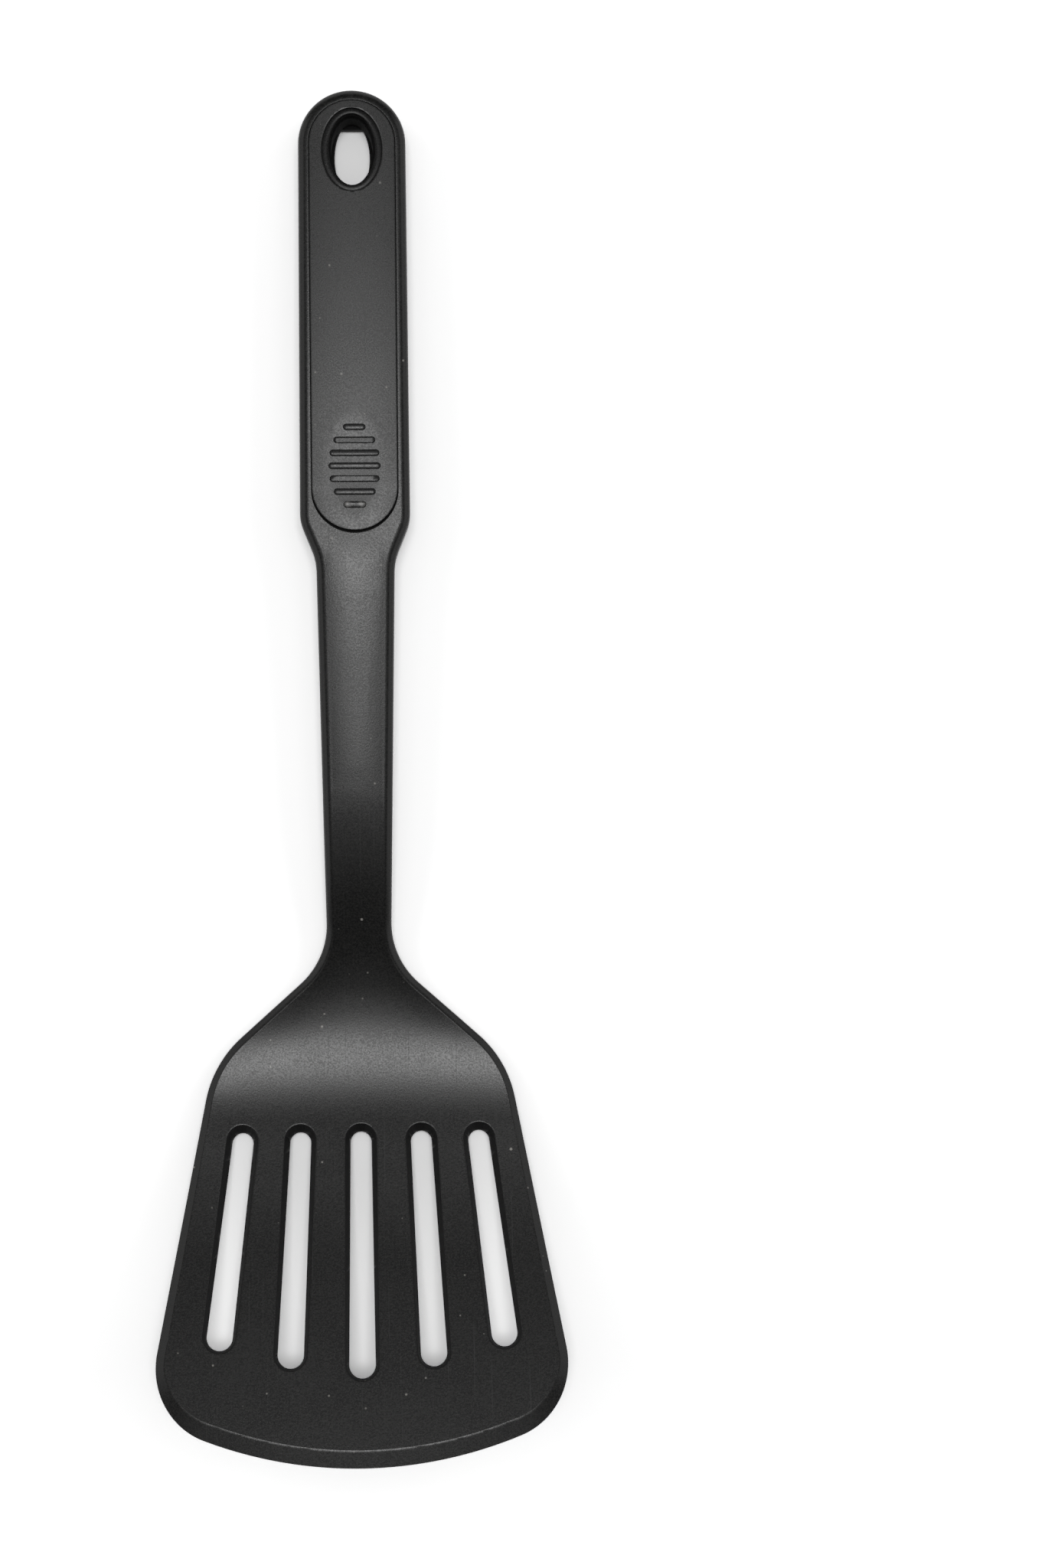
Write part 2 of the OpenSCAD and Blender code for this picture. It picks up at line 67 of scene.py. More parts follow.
# Depth of each nylon's grain.
BODY_GRAIN, COVER_GRAIN, EYE_GRAIN = 0.01 * MM, 0.003 * MM, 0.002 * MM
# Share of the body's dust that lies on the cover and the eye.
HANDLE_DUST = 0.7
# The two leans of the scratches, in radians from the turner's length, each with its own shift.
SCRATCH_LEANS = (0.12, 0), (-0.35, 7)
SCRATCH_ROUGHNESS = 0.08
TABLE_HALF = 3
WORLD_LIGHT = 0.07
SENSOR = 36
# Name, place, aim and size in metres, and power in watts.
LAMPS = (
    ("Overhead", (0, 0.2, 3), (0, 0.2, 0), (0.85, 0.62), 14),
    ("Ceiling", (0, 0.1, 3.05), (0, 0.1, 0), (3.4, 2.8), 6.2),
    ("Left", (-1.4, 0.3, 0.75), (0, 0.1, 0.1), (2, 1.3), 5),
    ("Right", (1.4, 0.3, 0.75), (0, 0.1, 0.1), (2, 1.3), 5),
    ("Back", (0, 1.7, 0.35), (0, 0, 0), (2, 0.6), 2.2))


# Sizes and colours

def length(name, millimetres, description):
    return FloatProperty(
        name=name, description=description, default=millimetres * MM,
        min=0, precision=5, subtype="DISTANCE", unit="LENGTH")


def angle(name, degrees, description):
    return FloatProperty(
        name=name, description=description, default=math.radians(degrees),
        subtype="ANGLE", unit="ROTATION")


def share(name, value, description):
    return FloatProperty(
        name=name, description=description, default=value, min=0, soft_max=1, subtype="FACTOR")


def hex_colour(name, value, description):
    return StringProperty(name=name, description=description, default=value)


class TurnerOutline(bpy.types.PropertyGroup):
    overall_length: length("Overall length", 320, "Length in plan")
    blade_width: length("Blade width", 95.4, "Greatest width of the blade")
    front_radius: length("Front edge radius", 105, "Radius of the curved front edge")
    corner_radius: length("Front corner radius", 17.1, "Radius of each front corner")
    shoulder_width: length("Shoulder width", 69.8, "Width of the blade between its shoulders")
    shoulder_position: length("Shoulder position", 91, "Distance of the shoulders from the front edge")
    shoulder_radius: length("Shoulder radius", 26, "Radius that rounds each shoulder")
    neck_position: length("Neck position", 115.4, "Distance of the neck's corner from the front edge")
    neck_width: length("Neck width", 15, "Width of the shaft where it meets the neck")
    neck_fillet: length("Neck fillet", 19.2, "Radius between neck and shaft")
    shaft_width: length("Shaft width", 18.4, "Width of the shaft where it meets the handle")
    handle_length: length("Handle length", 101.5, "Length of the handle")
    handle_width: length("Handle width", 25.8, "Width of the handle at its corner")
    handle_end_width: length("Handle end width", 25.2, "Width of the handle at its round end")
    handle_run: length("Handle run", 9.1, "Length of the slanted run between shaft and handle")
    handle_inside: length("Inside corner", 14.6, "Radius of the inside corner at the slanted run")
    handle_outside: length("Outside corner", 10, "Radius of the outside corner at the slanted run")
    step: length("Outline step", 1.1, "Length of one straight step on an arc of the outline")


class TurnerSide(bpy.types.PropertyGroup):
    blade_tilt: angle("Blade tilt", 17.6, "Angle of the blade's face to the table, near its front")
    upper_tilt: angle("Blade upper tilt", 13.6, "Angle of the blade's face near the heel")
    neck_tilt: angle("Neck tilt", 12.6, "Angle of the neck above the heel")
    shaft_tilt: angle("Shaft tilt", 2.7, "Angle of the shaft")
    handle_fall: angle("Handle fall", 1.05, "Angle at which the handle falls to its end")
    bow_position: length("Bow position", 58, "Distance of the blade's gentle bow from the front edge")
    bow_radius: length("Bow radius", 350, "Radius of the blade's gentle bow")
    heel_position: length("Heel position", 98.8, "Distance of the heel's bend from the front edge")
    heel_radius: length("Heel radius", 92, "Radius of the heel's bend on the food side")
    heel_under: length("Heel radius underneath", 115, "Radius of the heel's bend underneath")
    neck_bend: length("Neck bend position", 142, "Distance of the neck's bend from the front edge")
    neck_radius: length("Neck bend radius", 165, "Radius of the neck's bend")
    handle_bend: length("Handle bend position", 11.5, "Distance of the bend before the handle's corner")
    handle_radius: length("Handle bend radius", 185, "Radius of the bend in front of the handle")
    front_thickness: length("Front thickness", 1.8, "Thickness at the front edge before its bevel")
    heel_thickness: length("Heel thickness", 4.4, "Thickness at the heel's bend")
    neck_thickness: length("Neck thickness", 8, "Thickness at the neck's bend")
    shaft_thickness: length("Shaft thickness", 8.6, "Thickness where the shaft meets the handle")
    handle_thickness: length("Handle thickness", 14, "Thickness of the handle at its corner")
    end_thickness: length("Handle end thickness", 12.5, "Thickness of the handle at its end")
    shaft_crown: length("Shaft crown", 0.33, "Rise of the shaft's crowned face above its edges")
    handle_crown: length("Handle crown", 0.2, "Rise of the handle's crowned face where the cover ends")
    heel_dish: length("Heel dish", 0.5, "Fall of the heel's hollow face below its edges")
    handle_belly: length("Handle belly", 0.3, "Fall of the handle's rounded back below its edges")


class TurnerEdges(bpy.types.PropertyGroup):
    front_width: length("Front bevel width", 4.1, "Width of the bevel along the front edge")
    front_depth: length("Front bevel depth", 1.2, "Depth of the bevel along the front edge")
    side_width: length("Side bevel width", 2, "Width of the bevel beside the greatest width")
    side_depth: length("Side bevel depth", 0.8, "Depth of the bevel beside the greatest width")
    shoulder_width: length("Shoulder bevel width", 1.4, "Width of the bevel at the shoulders")
    shoulder_depth: length("Shoulder bevel depth", 0.7, "Depth of the bevel at the shoulders")
    upper_depth: length("Upper edge depth", 1.8, "Depth of shaft and handle's round edges")
    upper_width: length("Upper edge width", 2.1, "Width of shaft and handle's round edges")
    under_blade: length("Blade under-edge", 0.35, "Radius of the edges under the blade")
    under_heel: length("Heel under-edge", 1, "Radius of the edges under the heel")
    under_shaft: length("Shaft under-edge", 3, "Radius of the edges under the shaft")
    under_handle: length("Handle under-edge", 4.6, "Radius of the edges under the handle")
    grid: length("Grid", 1.6, "Distance between the cuts that let the body bend smoothly")


class TurnerSlots(bpy.types.PropertyGroup):
    width: length("Slot width", 7.6, "Width of each slot at the blade's face, at its lower end")
    upper_width: length("Slot upper width", 7.2, "Width of each slot at its upper end")
    draft: angle("Slot draft", 17.5, "Lean of the slots' walls")
    rim: length("Slot rim", 0.22, "Radius of the rounded rim of each slot")
    top: length("Slot top", 79.8, "Distance of the slots' upper ends from the front edge")
    bottom: length("Slot bottom", 20.2, "Distance of the middle slot's lower end")
    inner_rise: length("Inner slot rise", 2.5, "Rise of the inner slots' lower ends")
    outer_rise: length("Outer slot rise", 6.8, "Rise of the outer slots' lower ends")
    inner_offset: length("Inner slot offset", 14.1, "Distance of the inner slots from the middle")
    outer_offset: length("Outer slot offset", 27.5, "Distance of the outer slots from the middle")
    inner_fan: angle("Inner slot fan", 2.7, "Angle of the inner slots to the middle line")
    outer_fan: angle("Outer slot fan", 6.5, "Angle of the outer slots to the middle line")


class TurnerCover(bpy.types.PropertyGroup):
    rim: length("Handle rim", 2.4, "Width of the rim that the handle keeps around the cover")
    reach: length("Cover reach", 2.25, "How far the cover's end reaches past the handle's corner")
    thickness: length("Cover thickness", 2.2, "Thickness of the cover at its edge")
    crown: length("Cover crown", 0.25, "Rise of the cover's face above its edges")
    gap: length("Parting gap", 0.15, "Gap between the cover and its pocket")
    end_gap: length("End gap", 0.45, "Further gap at the cover's round lower end")
    edge: length("Cover edge", 0.07, "Radius of the cover's edge")
    lip: length("Pocket edge", 0.04, "Radius of the pocket's edge")
    roll: length("Cover roll", 0.14, "Fall of the cover's face at its lower end")
    roll_reach: length("Cover roll reach", 6, "Distance over which the lower end rolls down")
    bar_count: IntProperty(name="Bars", description="Number of grip bars", default=7, min=1, max=9)
    bar_pitch: length("Bar pitch", 3.03, "Distance from one bar to the next")
    bar_width: length("Bar width", 1.25, "Width of each bar")
    bar_height: length("Bar height", 0.1, "Height of each bar above the cover's face")
    bar_moat: length("Bar moat", 0.16, "Width of the narrow sunk line around each bar")
    longest_bar: length("Longest bar", 11.9, "Length of the longest bar")
    field_length: length("Bar field", 20, "Length of the oval that the bars fill")
    field_position: length("Bar field position", 15.2, "Distance of the bars from the cover's end")
    dish_depth: length("Dish depth", 0.22, "Depth of the thumb rest")
    dish_width: length("Dish width", 14, "Width of the thumb rest")
    dish_length: length("Dish length", 25, "Length of the thumb rest")


class TurnerEye(bpy.types.PropertyGroup):
    position: length("Eye position", 14.2, "Distance of the eye's middle from the handle's end")
    width: length("Eye width", 14.1, "Width of the eye's flange")
    length: length("Eye length", 19.4, "Length of the eye's flange")
    opening_width: length("Opening width", 10.7, "Width of the opening in the flange")
    opening_length: length("Opening length", 16.5, "Length of the opening in the flange")
    gap: length("Eye gap", 0.06, "Gap between the flange and the cover")
    flange_step: length("Flange step", 0.7, "How far the tube lies inside the flange's edge")
    bore_step: length("Bore step", 0.4, "Step of the opening below the flange")
    tube_length: length("Tube length", 7.8, "Length of the tube under the flange")
    back_width: length("Back opening width", 8.4, "Width of the opening in the handle's back")
    back_length: length("Back opening length", 17.4, "Length of the back opening without flats")
    back_flat: length("Back opening flat", 6.7, "Distance from the eye's middle to each flat end")


class TurnerFinish(bpy.types.PropertyGroup):
    body_colour: hex_colour("Body colour", "#141414", "Colour of the body's nylon")
    cover_colour: hex_colour("Cover colour", "#181818", "Colour of the cover's nylon")
    eye_colour: hex_colour("Eye colour", "#141414", "Colour of the eye's nylon")
    speckle_colour: hex_colour("Speckle colour", "#373634", "Colour of glass fibres near the surface")
    scratch_colour: hex_colour("Scratch colour", "#2e2e2e", "Colour of hair-fine scratches")
    # Pale colour of the bevel's crease, partly wear and partly painted highlight, and the painted highlight
    # on the lowest bar's ends.
    wear_and_highlight_colour: hex_colour("Wear and highlight colour", "#8a8885", "Colour of rubbed creases and painted highlights")
    dust_colour: hex_colour("Dust colour", "#b9b6b0", "Colour of dust specks")
    # Painted shade: a darker black laid over the walls of slots, grooves and the eye's bore.
    recess_shade_colour: hex_colour("Recess shade colour", "#060606", "Painted shade in slots, grooves and bore")
    speckle: share("Speckle", 0.45, "Strength of the pale speckle on the body")
    cover_speckle: share("Cover speckle", 0.22, "Strength of the pale speckle on cover and eye")
    grain: length("Grain", 0.42, "Width of one pit of the grain as drawn")
    clouds: length("Clouds", 16, "Width of the broad clouds of gloss")
    scratch_width: length("Scratch width", 0.3, "Spacing across the scratches")
    scratch_length: length("Scratch length", 45, "Length of the scratches")
    dust_spacing: length("Dust spacing", 3.2, "Width of the cells that hold one speck of dust each")
    dust_size: length("Dust size", 0.7, "Width of the largest specks")
    pale_patch: length("Pale patch", 2.2, "Length of the patches that the pale crease and bar ends break into")
    body_roughness: share("Body roughness", 0.26, "Roughness of the grained nylon")
    cover_roughness: share("Cover roughness", 0.27, "Roughness of the smoother cover")
    eye_specular: share("Eye specular", 0.25, "Strength of the eye's reflections")
    recess_roughness: share("Recess roughness", 0.5, "How much rougher slots and grooves are")


class TurnerStage(bpy.types.PropertyGroup):
    floor_colour: hex_colour("Floor colour", "#f4f4f4", "Colour of the table")
    floor_lift: share("Floor lift", 0.05, "White that the table shows by itself")
    floor_gain: share("Floor gain", 3.0, "How much brighter the table is seen")
    floor_echo: share("Floor echo", 0.35, "How much of that gain reflections see")
    camera_height: length("Camera height", 740.3, "Height of the camera above the table")
    camera_side: length("Camera side", 6.35, "Distance of the camera to the right")
    camera_setback: length("Camera setback", 3.07, "Distance of the camera to the front")
    camera_lens: length("Camera lens", 71.1, "Focal length of the camera")
    camera_yaw: angle("Camera yaw", 2.549, "How far the camera looks to the right of straight down")
    camera_roll: angle("Camera roll", 0.526, "How far the turner leans in the picture")


class TurnerSettings(bpy.types.PropertyGroup):
    outline: PointerProperty(type=TurnerOutline)
    side: PointerProperty(type=TurnerSide)
    edges: PointerProperty(type=TurnerEdges)
    slots: PointerProperty(type=TurnerSlots)
    cover: PointerProperty(type=TurnerCover)
    eye: PointerProperty(type=TurnerEye)
    finish: PointerProperty(type=TurnerFinish)
    stage: PointerProperty(type=TurnerStage)


# Lines and places

def lookup(y, table):
    """Value at y in a table of (place, value) pairs, in straight steps between them."""
    if y <= table[0][0]:
        return table[0][1]
    for (a, p), (b, q) in zip(table, table[1:]):
        if y <= b:
            return p + (q - p) * (y - a) / (b - a)
    return table[-1][1]


def rounded_line(corners):
    """The function that gives a side line's height at y. Corners are (y, height, radius)."""
    bends = []
    for a, b, c in zip(corners, corners[1:], corners[2:]):
        before = math.atan2(b[1] - a[1], b[0] - a[0])
        after = math.atan2(c[1] - b[1], c[0] - b[0])
        side = math.copysign(1, after - before)
        reach = b[2] * math.tan(abs(after - before) / 2)
        start = b[0] - reach * math.cos(before)
        bends.append((
            start, b[0] + reach * math.cos(after), start - side * b[2] * math.sin(before),
            b[1] - reach * math.sin(before) + side * b[2] * math.cos(before), side, b[2]))
    runs = [(y, height) for y, height, radius in corners]

    def height_at(y):
        for start, end, centre_y, centre_z, side, radius in bends:
            if start < y < end:
                return centre_z - side * math.sqrt(radius**2 - (y - centre_y) ** 2)
        return lookup(y, runs)

    return height_at


class Form:
    """Places, side lines and edge sizes that follow from the sizes in the sidebar."""

    def __init__(self, settings):
        o, s, e = settings.outline, settings.side, settings.edges
        self.half = o.overall_length / 2
        self.front = -self.half
        self.shoulder = self.front + o.shoulder_position
        self.neck = self.front + o.neck_position
        self.handle = self.half - o.handle_length
        self.shaft = self.handle - o.handle_run
        self.shaft_start = self.neck + o.neck_fillet
        heel = self.front + s.heel_position
        neck_bend = self.front + s.neck_bend
        handle_bend = self.handle - s.handle_bend
        neck_rise = (neck_bend - heel) * math.tan(s.neck_tilt)
        shaft_rise = neck_rise + (handle_bend - neck_bend) * math.tan(s.shaft_tilt)
        end_rise = shaft_rise - (self.half - handle_bend) * math.tan(s.handle_fall)
        bow = self.front + s.bow_position
        bow_rise = (heel - bow) * math.tan(s.upper_tilt)
        bow_thickness = s.front_thickness + (
            s.heel_thickness - s.front_thickness) * s.bow_position / s.heel_position
        face = [
            (self.front, bow_rise + s.bow_position * math.tan(s.blade_tilt), 0),
            (bow, bow_rise, s.bow_radius),
            (heel, 0, s.heel_radius),
            (neck_bend, neck_rise, s.neck_radius),
            (handle_bend, shaft_rise, s.handle_radius),
            (self.half, end_rise, 0)]
        runs = [(y, height) for y, height, radius in face]
        back = [
            (y, lookup(y, runs) - thickness, radius) for y, thickness, radius in (
                (self.front, s.front_thickness, 0),
                (bow, bow_thickness, s.bow_radius),
                (heel, s.heel_thickness, s.heel_under),
                (neck_bend, s.neck_thickness, s.neck_radius / 2),
                (self.shaft - o.handle_run / 2, s.shaft_thickness, 2 * o.handle_inside),
                (self.handle, s.handle_thickness, 2 * o.handle_outside),
                (self.half, s.end_thickness, 0))]
        face_line, back_line = rounded_line(face), rounded_line(back)
        belly_table = [
            (self.shaft, 0), (self.handle, s.handle_belly),
            (self.half - o.handle_end_width / 2, s.handle_belly), (self.half, 0)]
        self.belly = lambda y: lookup(y, belly_table)
        # The turner stands on the lowest point of its underside.
        steps = range(math.ceil(4 * o.overall_length / MM))
        lift = -min(back_line(y) - self.belly(y) for y in (self.front + i * MM / 4 for i in steps))
        self.face = lambda y: face_line(y) + lift
        self.back = lambda y: back_line(y) + lift
        slots = settings.slots
        fall = self.face(self.front) - self.face(self.front + slots.top)
        self.slot_tilt = math.atan(fall / slots.top)
        self.handle_frame = Matrix.Translation((0, self.half, end_rise + lift)) @ Matrix.Rotation(
            -s.handle_fall, 4, "X")

        self.front_centre = Vector((0, self.front + o.front_radius, 0))
        corner_x = o.blade_width / 2 - o.corner_radius
        self.corner_centre = Vector((corner_x, self.front_centre.y - math.sqrt(
            (o.front_radius - o.corner_radius) ** 2 - corner_x**2), 0))
        self.end_radius = o.handle_end_width / 2
        self.end_centre = Vector((0, self.half - self.end_radius, 0))
        # The edges change shape at these places, as (place, shape) along the length.
        places = (
            self.front + e.front_width + e.side_width, self.corner_centre.y,
            self.shoulder, self.shaft_start, self.shaft, self.handle)

        def along(*values):
            table = list(zip(places, values))
            return lambda y: lookup(y, table)

        self.upper_width = along(
            e.front_width, e.side_width, e.shoulder_width, e.upper_width, e.upper_width, e.upper_width)
        self.upper_depth = along(
            e.front_depth, e.side_depth, e.shoulder_depth, e.upper_depth, e.upper_depth, e.upper_depth)
        self.under = along(
            e.under_blade, e.under_blade, e.under_heel, e.under_shaft, e.under_shaft, e.under_handle)
        self.roundness = along(0, 0, 0, 1, 1, 1)
        self.round_all = lambda y: 1
        crown_table = [
            (self.shoulder - o.shoulder_radius, 0), (heel + 2 * s.heel_thickness, -s.heel_dish),
            (self.shaft_start, 0), (neck_bend + o.neck_fillet, s.shaft_crown),
            (self.shaft, s.shaft_crown), (self.handle, s.handle_crown),
            (self.handle + 2 * o.handle_run, 0)]
        self.face_crown = lambda y: lookup(y, crown_table)
        self.half_widths = []

    def half_width(self, y):
        return lookup(y, self.half_widths)


# Mesh tools

class Pen:
    """Draws a flat line: a straight run extrudes its last point and an arc spins it."""

    def __init__(self, bm, start, step):
        self.bm, self.step = bm, step
        self.point = bm.verts.new(start)

    def line(self, end):
        new = bmesh.ops.extrude_vert_indiv(self.bm, verts=[self.point])["verts"][0]
        new.co = end
        self.point = new

    def arc(self, centre, turn):
        size = (self.point.co - centre).length
        out = bmesh.ops.spin(
            self.bm, geom=[self.point], cent=centre, axis=(0, 0, 1), angle=turn,
            steps=max(3, math.ceil(size * abs(turn) / self.step)))
        self.point = [g for g in out["geom_last"] if isinstance(g, bmesh.types.BMVert)][0]

    def corner(self, before, at, after, radius):
        """A straight run towards a corner and the arc that rounds it."""
        u, w = at - before, after - at
        turn = math.atan2(w.y, w.x) - math.atan2(u.y, u.x)
        bend = math.tan(abs(turn) / 2)
        radius = min(radius, min(u.length, w.length) / 2 / bend)
        start = at - u.normalized() * radius * bend
        side = Vector((-u.y, u.x, 0)).normalized() * math.copysign(radius, turn)
        self.line(start)
        self.arc(start + side, turn)


def touch_angle(centre, radius, point):
    """Angle on a circle, on its +X side, where a straight line through point touches it."""
    d = point - centre
    return math.atan2(d.y, d.x) - math.copysign(math.acos(radius / d.length), d.y)


def verts_of(geom):
    return [g for g in geom if isinstance(g, bmesh.types.BMVert)]


def edges_of(geom):
    return [g for g in geom if isinstance(g, bmesh.types.BMEdge)]


def next_loop(bm, edges, place):
    """Extrudes a closed loop of edges and puts each new point where place(old point) says."""
    new = bmesh.ops.extrude_edge_only(bm, edges=edges)["geom"]
    verts = set(verts_of(new))
    for v in verts:
        v.co = place(v.co.copy())
    return [e for e in edges_of(new) if verts.issuperset(e.verts)]


def stadium(bm, radius, run, segments):
    """A stadium of edges from the origin along +Y: a circle whose upper half is moved on by run."""
    verts = bmesh.ops.create_circle(
        bm, cap_ends=False, radius=radius / math.cos(math.pi / segments), segments=segments)["verts"]
    bmesh.ops.rotate(bm, verts=verts, cent=(0, 0, 0), matrix=Matrix.Rotation(math.pi / segments, 3, "Z"))
    bmesh.ops.translate(bm, verts=[v for v in verts if v.co.y > 0], vec=(0, run, 0))
    return verts


def oval(bm, width, run, centre, segments):
    """An ellipse of edges."""
    verts = bmesh.ops.create_circle(bm, cap_ends=False, radius=0.5, segments=segments)["verts"]
    bmesh.ops.scale(bm, verts=verts, vec=(width, run, 1))
    bmesh.ops.translate(bm, verts=verts, vec=centre)
    return verts


def around_oval(centre, seen, size, height, flat=math.inf):
    """Moves a point of the oval with half sizes seen to the same turn of the oval with half sizes size.

    The new oval is cut off straight at the distance flat from its centre.
    """
    def place(co):
        turn = math.atan2((co.y - centre.y) / seen[1], (co.x - centre.x) / seen[0])
        y = min(max(size[1] * math.sin(turn), -flat), flat)
        return Vector((centre.x + size[0] * math.cos(turn), centre.y + y, height))

    return place


def loop_edges(verts):
    group = set(verts)
    return list({e for v in verts for e in v.link_edges if group.issuperset(e.verts)})


def around_spine(start, end, radius, height):
    """Puts a point at radius(y) from the nearest point of the spine from start to end."""
    run = end - start

    def place(co):
        flat = Vector((co.x, co.y, 0))
        t = min(max((flat - start).dot(run) / run.length_squared, 0), 1)
        nearest = start + run * t
        out = (flat - nearest).normalized() * radius(co.y)
        return Vector((nearest.x + out.x, nearest.y + out.y, height))

    return place


def thicken(bm, depth):
    """Fills the drawn outline and extrudes it down to a flat block."""
    top = bmesh.ops.contextual_create(bm, geom=bm.edges[:])["faces"][0]
    new = bmesh.ops.extrude_face_region(bm, geom=[top])["geom"]
    bmesh.ops.translate(bm, verts=verts_of(new), vec=(0, 0, -depth))
    bmesh.ops.recalc_face_normals(bm, faces=bm.faces[:])


def sheet_face(bm, height):
    """The large flat face at a height."""
    return max(
        (f for f in bm.faces if all(abs(v.co.z - height) < WELD for v in f.verts)),
        key=lambda f: f.calc_area())


def open_sheets(bm, *heights):
    """Takes out the large flat face at each height and returns the edges of each hole."""
    sheets = [sheet_face(bm, height) for height in heights]
    edges = [list(sheet.edges) for sheet in sheets]
    bmesh.ops.delete(bm, geom=sheets, context="FACES_ONLY")
    return edges


def soften(bm, edges, radius, segments=2):
    bmesh.ops.bevel(
        bm, geom=edges, offset=radius, offset_type="OFFSET", segments=segments, profile=0.5,
        affect="EDGES", clamp_overlap=False, material=-1)


def put_in_order(bm):
    """Sorts points, edges and faces by their places along a slanted line.

    Blender adds them in an order that changes from run to run, and sorted they come in the same order.
    """
    slant = Vector((1, math.sqrt(2), math.sqrt(3)))
    bm.verts.sort(key=lambda v: v.co.dot(slant))
    bm.edges.sort(key=lambda e: (e.verts[0].co + e.verts[1].co).dot(slant))
    bm.faces.sort(key=lambda f: f.calc_center_median().dot(slant))


def layer(layers, name):
    return layers.get(name) or layers.new(name)


def shape_rim(bm, height, width, depth, roundness, steps, upper, support):
    """Insets the flat face at a height and shapes the ring round it into a bevel or a rounded edge.

    The sizes follow y. A narrow flat ring inside it, as wide as support, keeps the edge crisp. The crease
    of an upper bevel is marked for the material's pale wear and painted highlight, and a round edge is not.
    """
    # All layers are made first, because a new layer leaves the points that the script holds invalid.
    base, reach = (layer(bm.verts.layers.float_vector, name) for name in ("base", "reach"))
    part, wear_and_highlight, _ = (layer(bm.verts.layers.float, name) for name in ("part", "wear_and_highlight", "recess"))
    face = sheet_face(bm, height)
    first = MM / 4
    ring = bmesh.ops.inset_region(bm, faces=[face], thickness=first, use_even_offset=True)["faces"]
    inner = set(face.verts)
    for v in bm.verts:
        v[part] = -1
    cross = list({e for f in ring for e in f.edges if len(inner.intersection(e.verts)) == 1})
    for e in cross:
        i, o = e.verts if e.verts[0] in inner else reversed(e.verts)
        inward = (i.co - o.co) / first * width(o.co.y)
        o[part], i[part] = 0, 1
        for v in (o, i):
            v[base], v[reach] = (o.co.x, o.co.y, o.co.z), inward
    bmesh.ops.subdivide_edges(bm, edges=cross, cuts=steps - 1)
    sign = -1 if upper else 1
    for v in bm.verts:
        s, y = v[part], v[base][1]
        if s < 0:
            continue
        r = roundness(y)
        moved = s + r * (1 - math.cos(math.pi / 2 * s) - s)
        left = 1 - s - r * (math.sin(math.pi / 2 * s) - s)
        v.co = Vector(v[base]) + Vector(v[reach]) * moved + Vector((0, 0, sign * depth(y) * left))
    face = sheet_face(bm, height)
    ring = bmesh.ops.inset_region(bm, faces=[face], thickness=support, use_even_offset=True)["faces"]
    inner = set(face.verts)
    for v in {v for f in ring for v in f.verts}:
        # The crease gets pale wear and a painted highlight.
        v[wear_and_highlight] = CREASE_WEAR_AND_HIGHLIGHT * (1 - roundness(v.co.y)) if upper and v not in inner else 0


def fill_sheet(bm, edges):
    return bmesh.ops.triangle_fill(bm, use_beauty=True, edges=edges, normal=(0, 0, 1))


def cut_grid(bm, low, high, pitch, axis):
    """Cuts all faces by parallel planes, so that they can bend."""
    put_in_order(bm)
    normal = Vector((1, 0, 0)) if axis == "X" else Vector((0, 1, 0))
    count = int((high - low) / pitch)
    for i in range(1, count + 1):
        bmesh.ops.bisect_plane(
            bm, geom=bm.verts[:] + bm.edges[:] + bm.faces[:], dist=WELD,
            plane_co=normal * (low + (high - low) * i / (count + 1)), plane_no=normal)


def finish_piece(bm, name, material, node, sharp=50):
    """Closes the mesh, shades it smooth with crisp edges and hangs it on the frame."""
    bmesh.ops.remove_doubles(bm, verts=bm.verts[:], dist=WELD)
    bmesh.ops.recalc_face_normals(bm, faces=bm.faces[:])
    for layers, key in (
            (bm.verts.layers.float_vector, "base"), (bm.verts.layers.float_vector, "reach"),
            (bm.verts.layers.float, "part")):
        if layers.get(key):
            layers.remove(layers.get(key))
    loose = [e for e in bm.edges if len(e.link_faces) != 2]
    if loose:
        raise RuntimeError(f"{name} has {len(loose)} open edges near {loose[0].verts[0].co[:]}")
    if bm.calc_volume(signed=True) < 0:
        bmesh.ops.reverse_faces(bm, faces=bm.faces[:])
    for f in bm.faces:
        f.smooth = True
    limit = math.radians(sharp)
    for e in bm.edges:
        e.smooth = e.calc_face_angle(0) < limit
    put_in_order(bm)
    mesh = bpy.data.meshes.new(name)
    bm.to_mesh(mesh)
    bm.free()
    mesh.materials.append(material)
    piece = bpy.data.objects.new(name, mesh)
    bpy.context.scene.collection.objects.link(piece)
    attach(piece, "root")
    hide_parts(node)
    return piece


# Materials

def linear(code):
    """The linear colour of an sRGB hex code."""
    parts = [int(code[i:i + 2], 16) / 255 for i in (1, 3, 5)]
    return [c / 12.92 if c <= 0.04045 else ((c + 0.055) / 1.055) ** 2.4 for c in parts] + [1]


RANGE = "From Min", "From Max", "To Min", "To Max"


def add_node(material, kind, settings=None, links=None):
    """Adds a node, sets its properties or inputs, and links sockets or other nodes' first outputs to it."""
    tree = material.node_tree
    node = tree.nodes.new(kind)
    for key, value in (settings or {}).items():
        if isinstance(key, str) and hasattr(node, key):
            setattr(node, key, value)
        else:
            node.inputs[key].default_value = value
    for key, source in (links or {}).items():
        output = source.outputs[0] if isinstance(source, bpy.types.Node) else source
        tree.links.new(output, node.inputs[key])
    return node


def new_material(name):
    material = bpy.data.materials.new(name)
    material.use_nodes = True
    material.node_tree.nodes.clear()
    return material


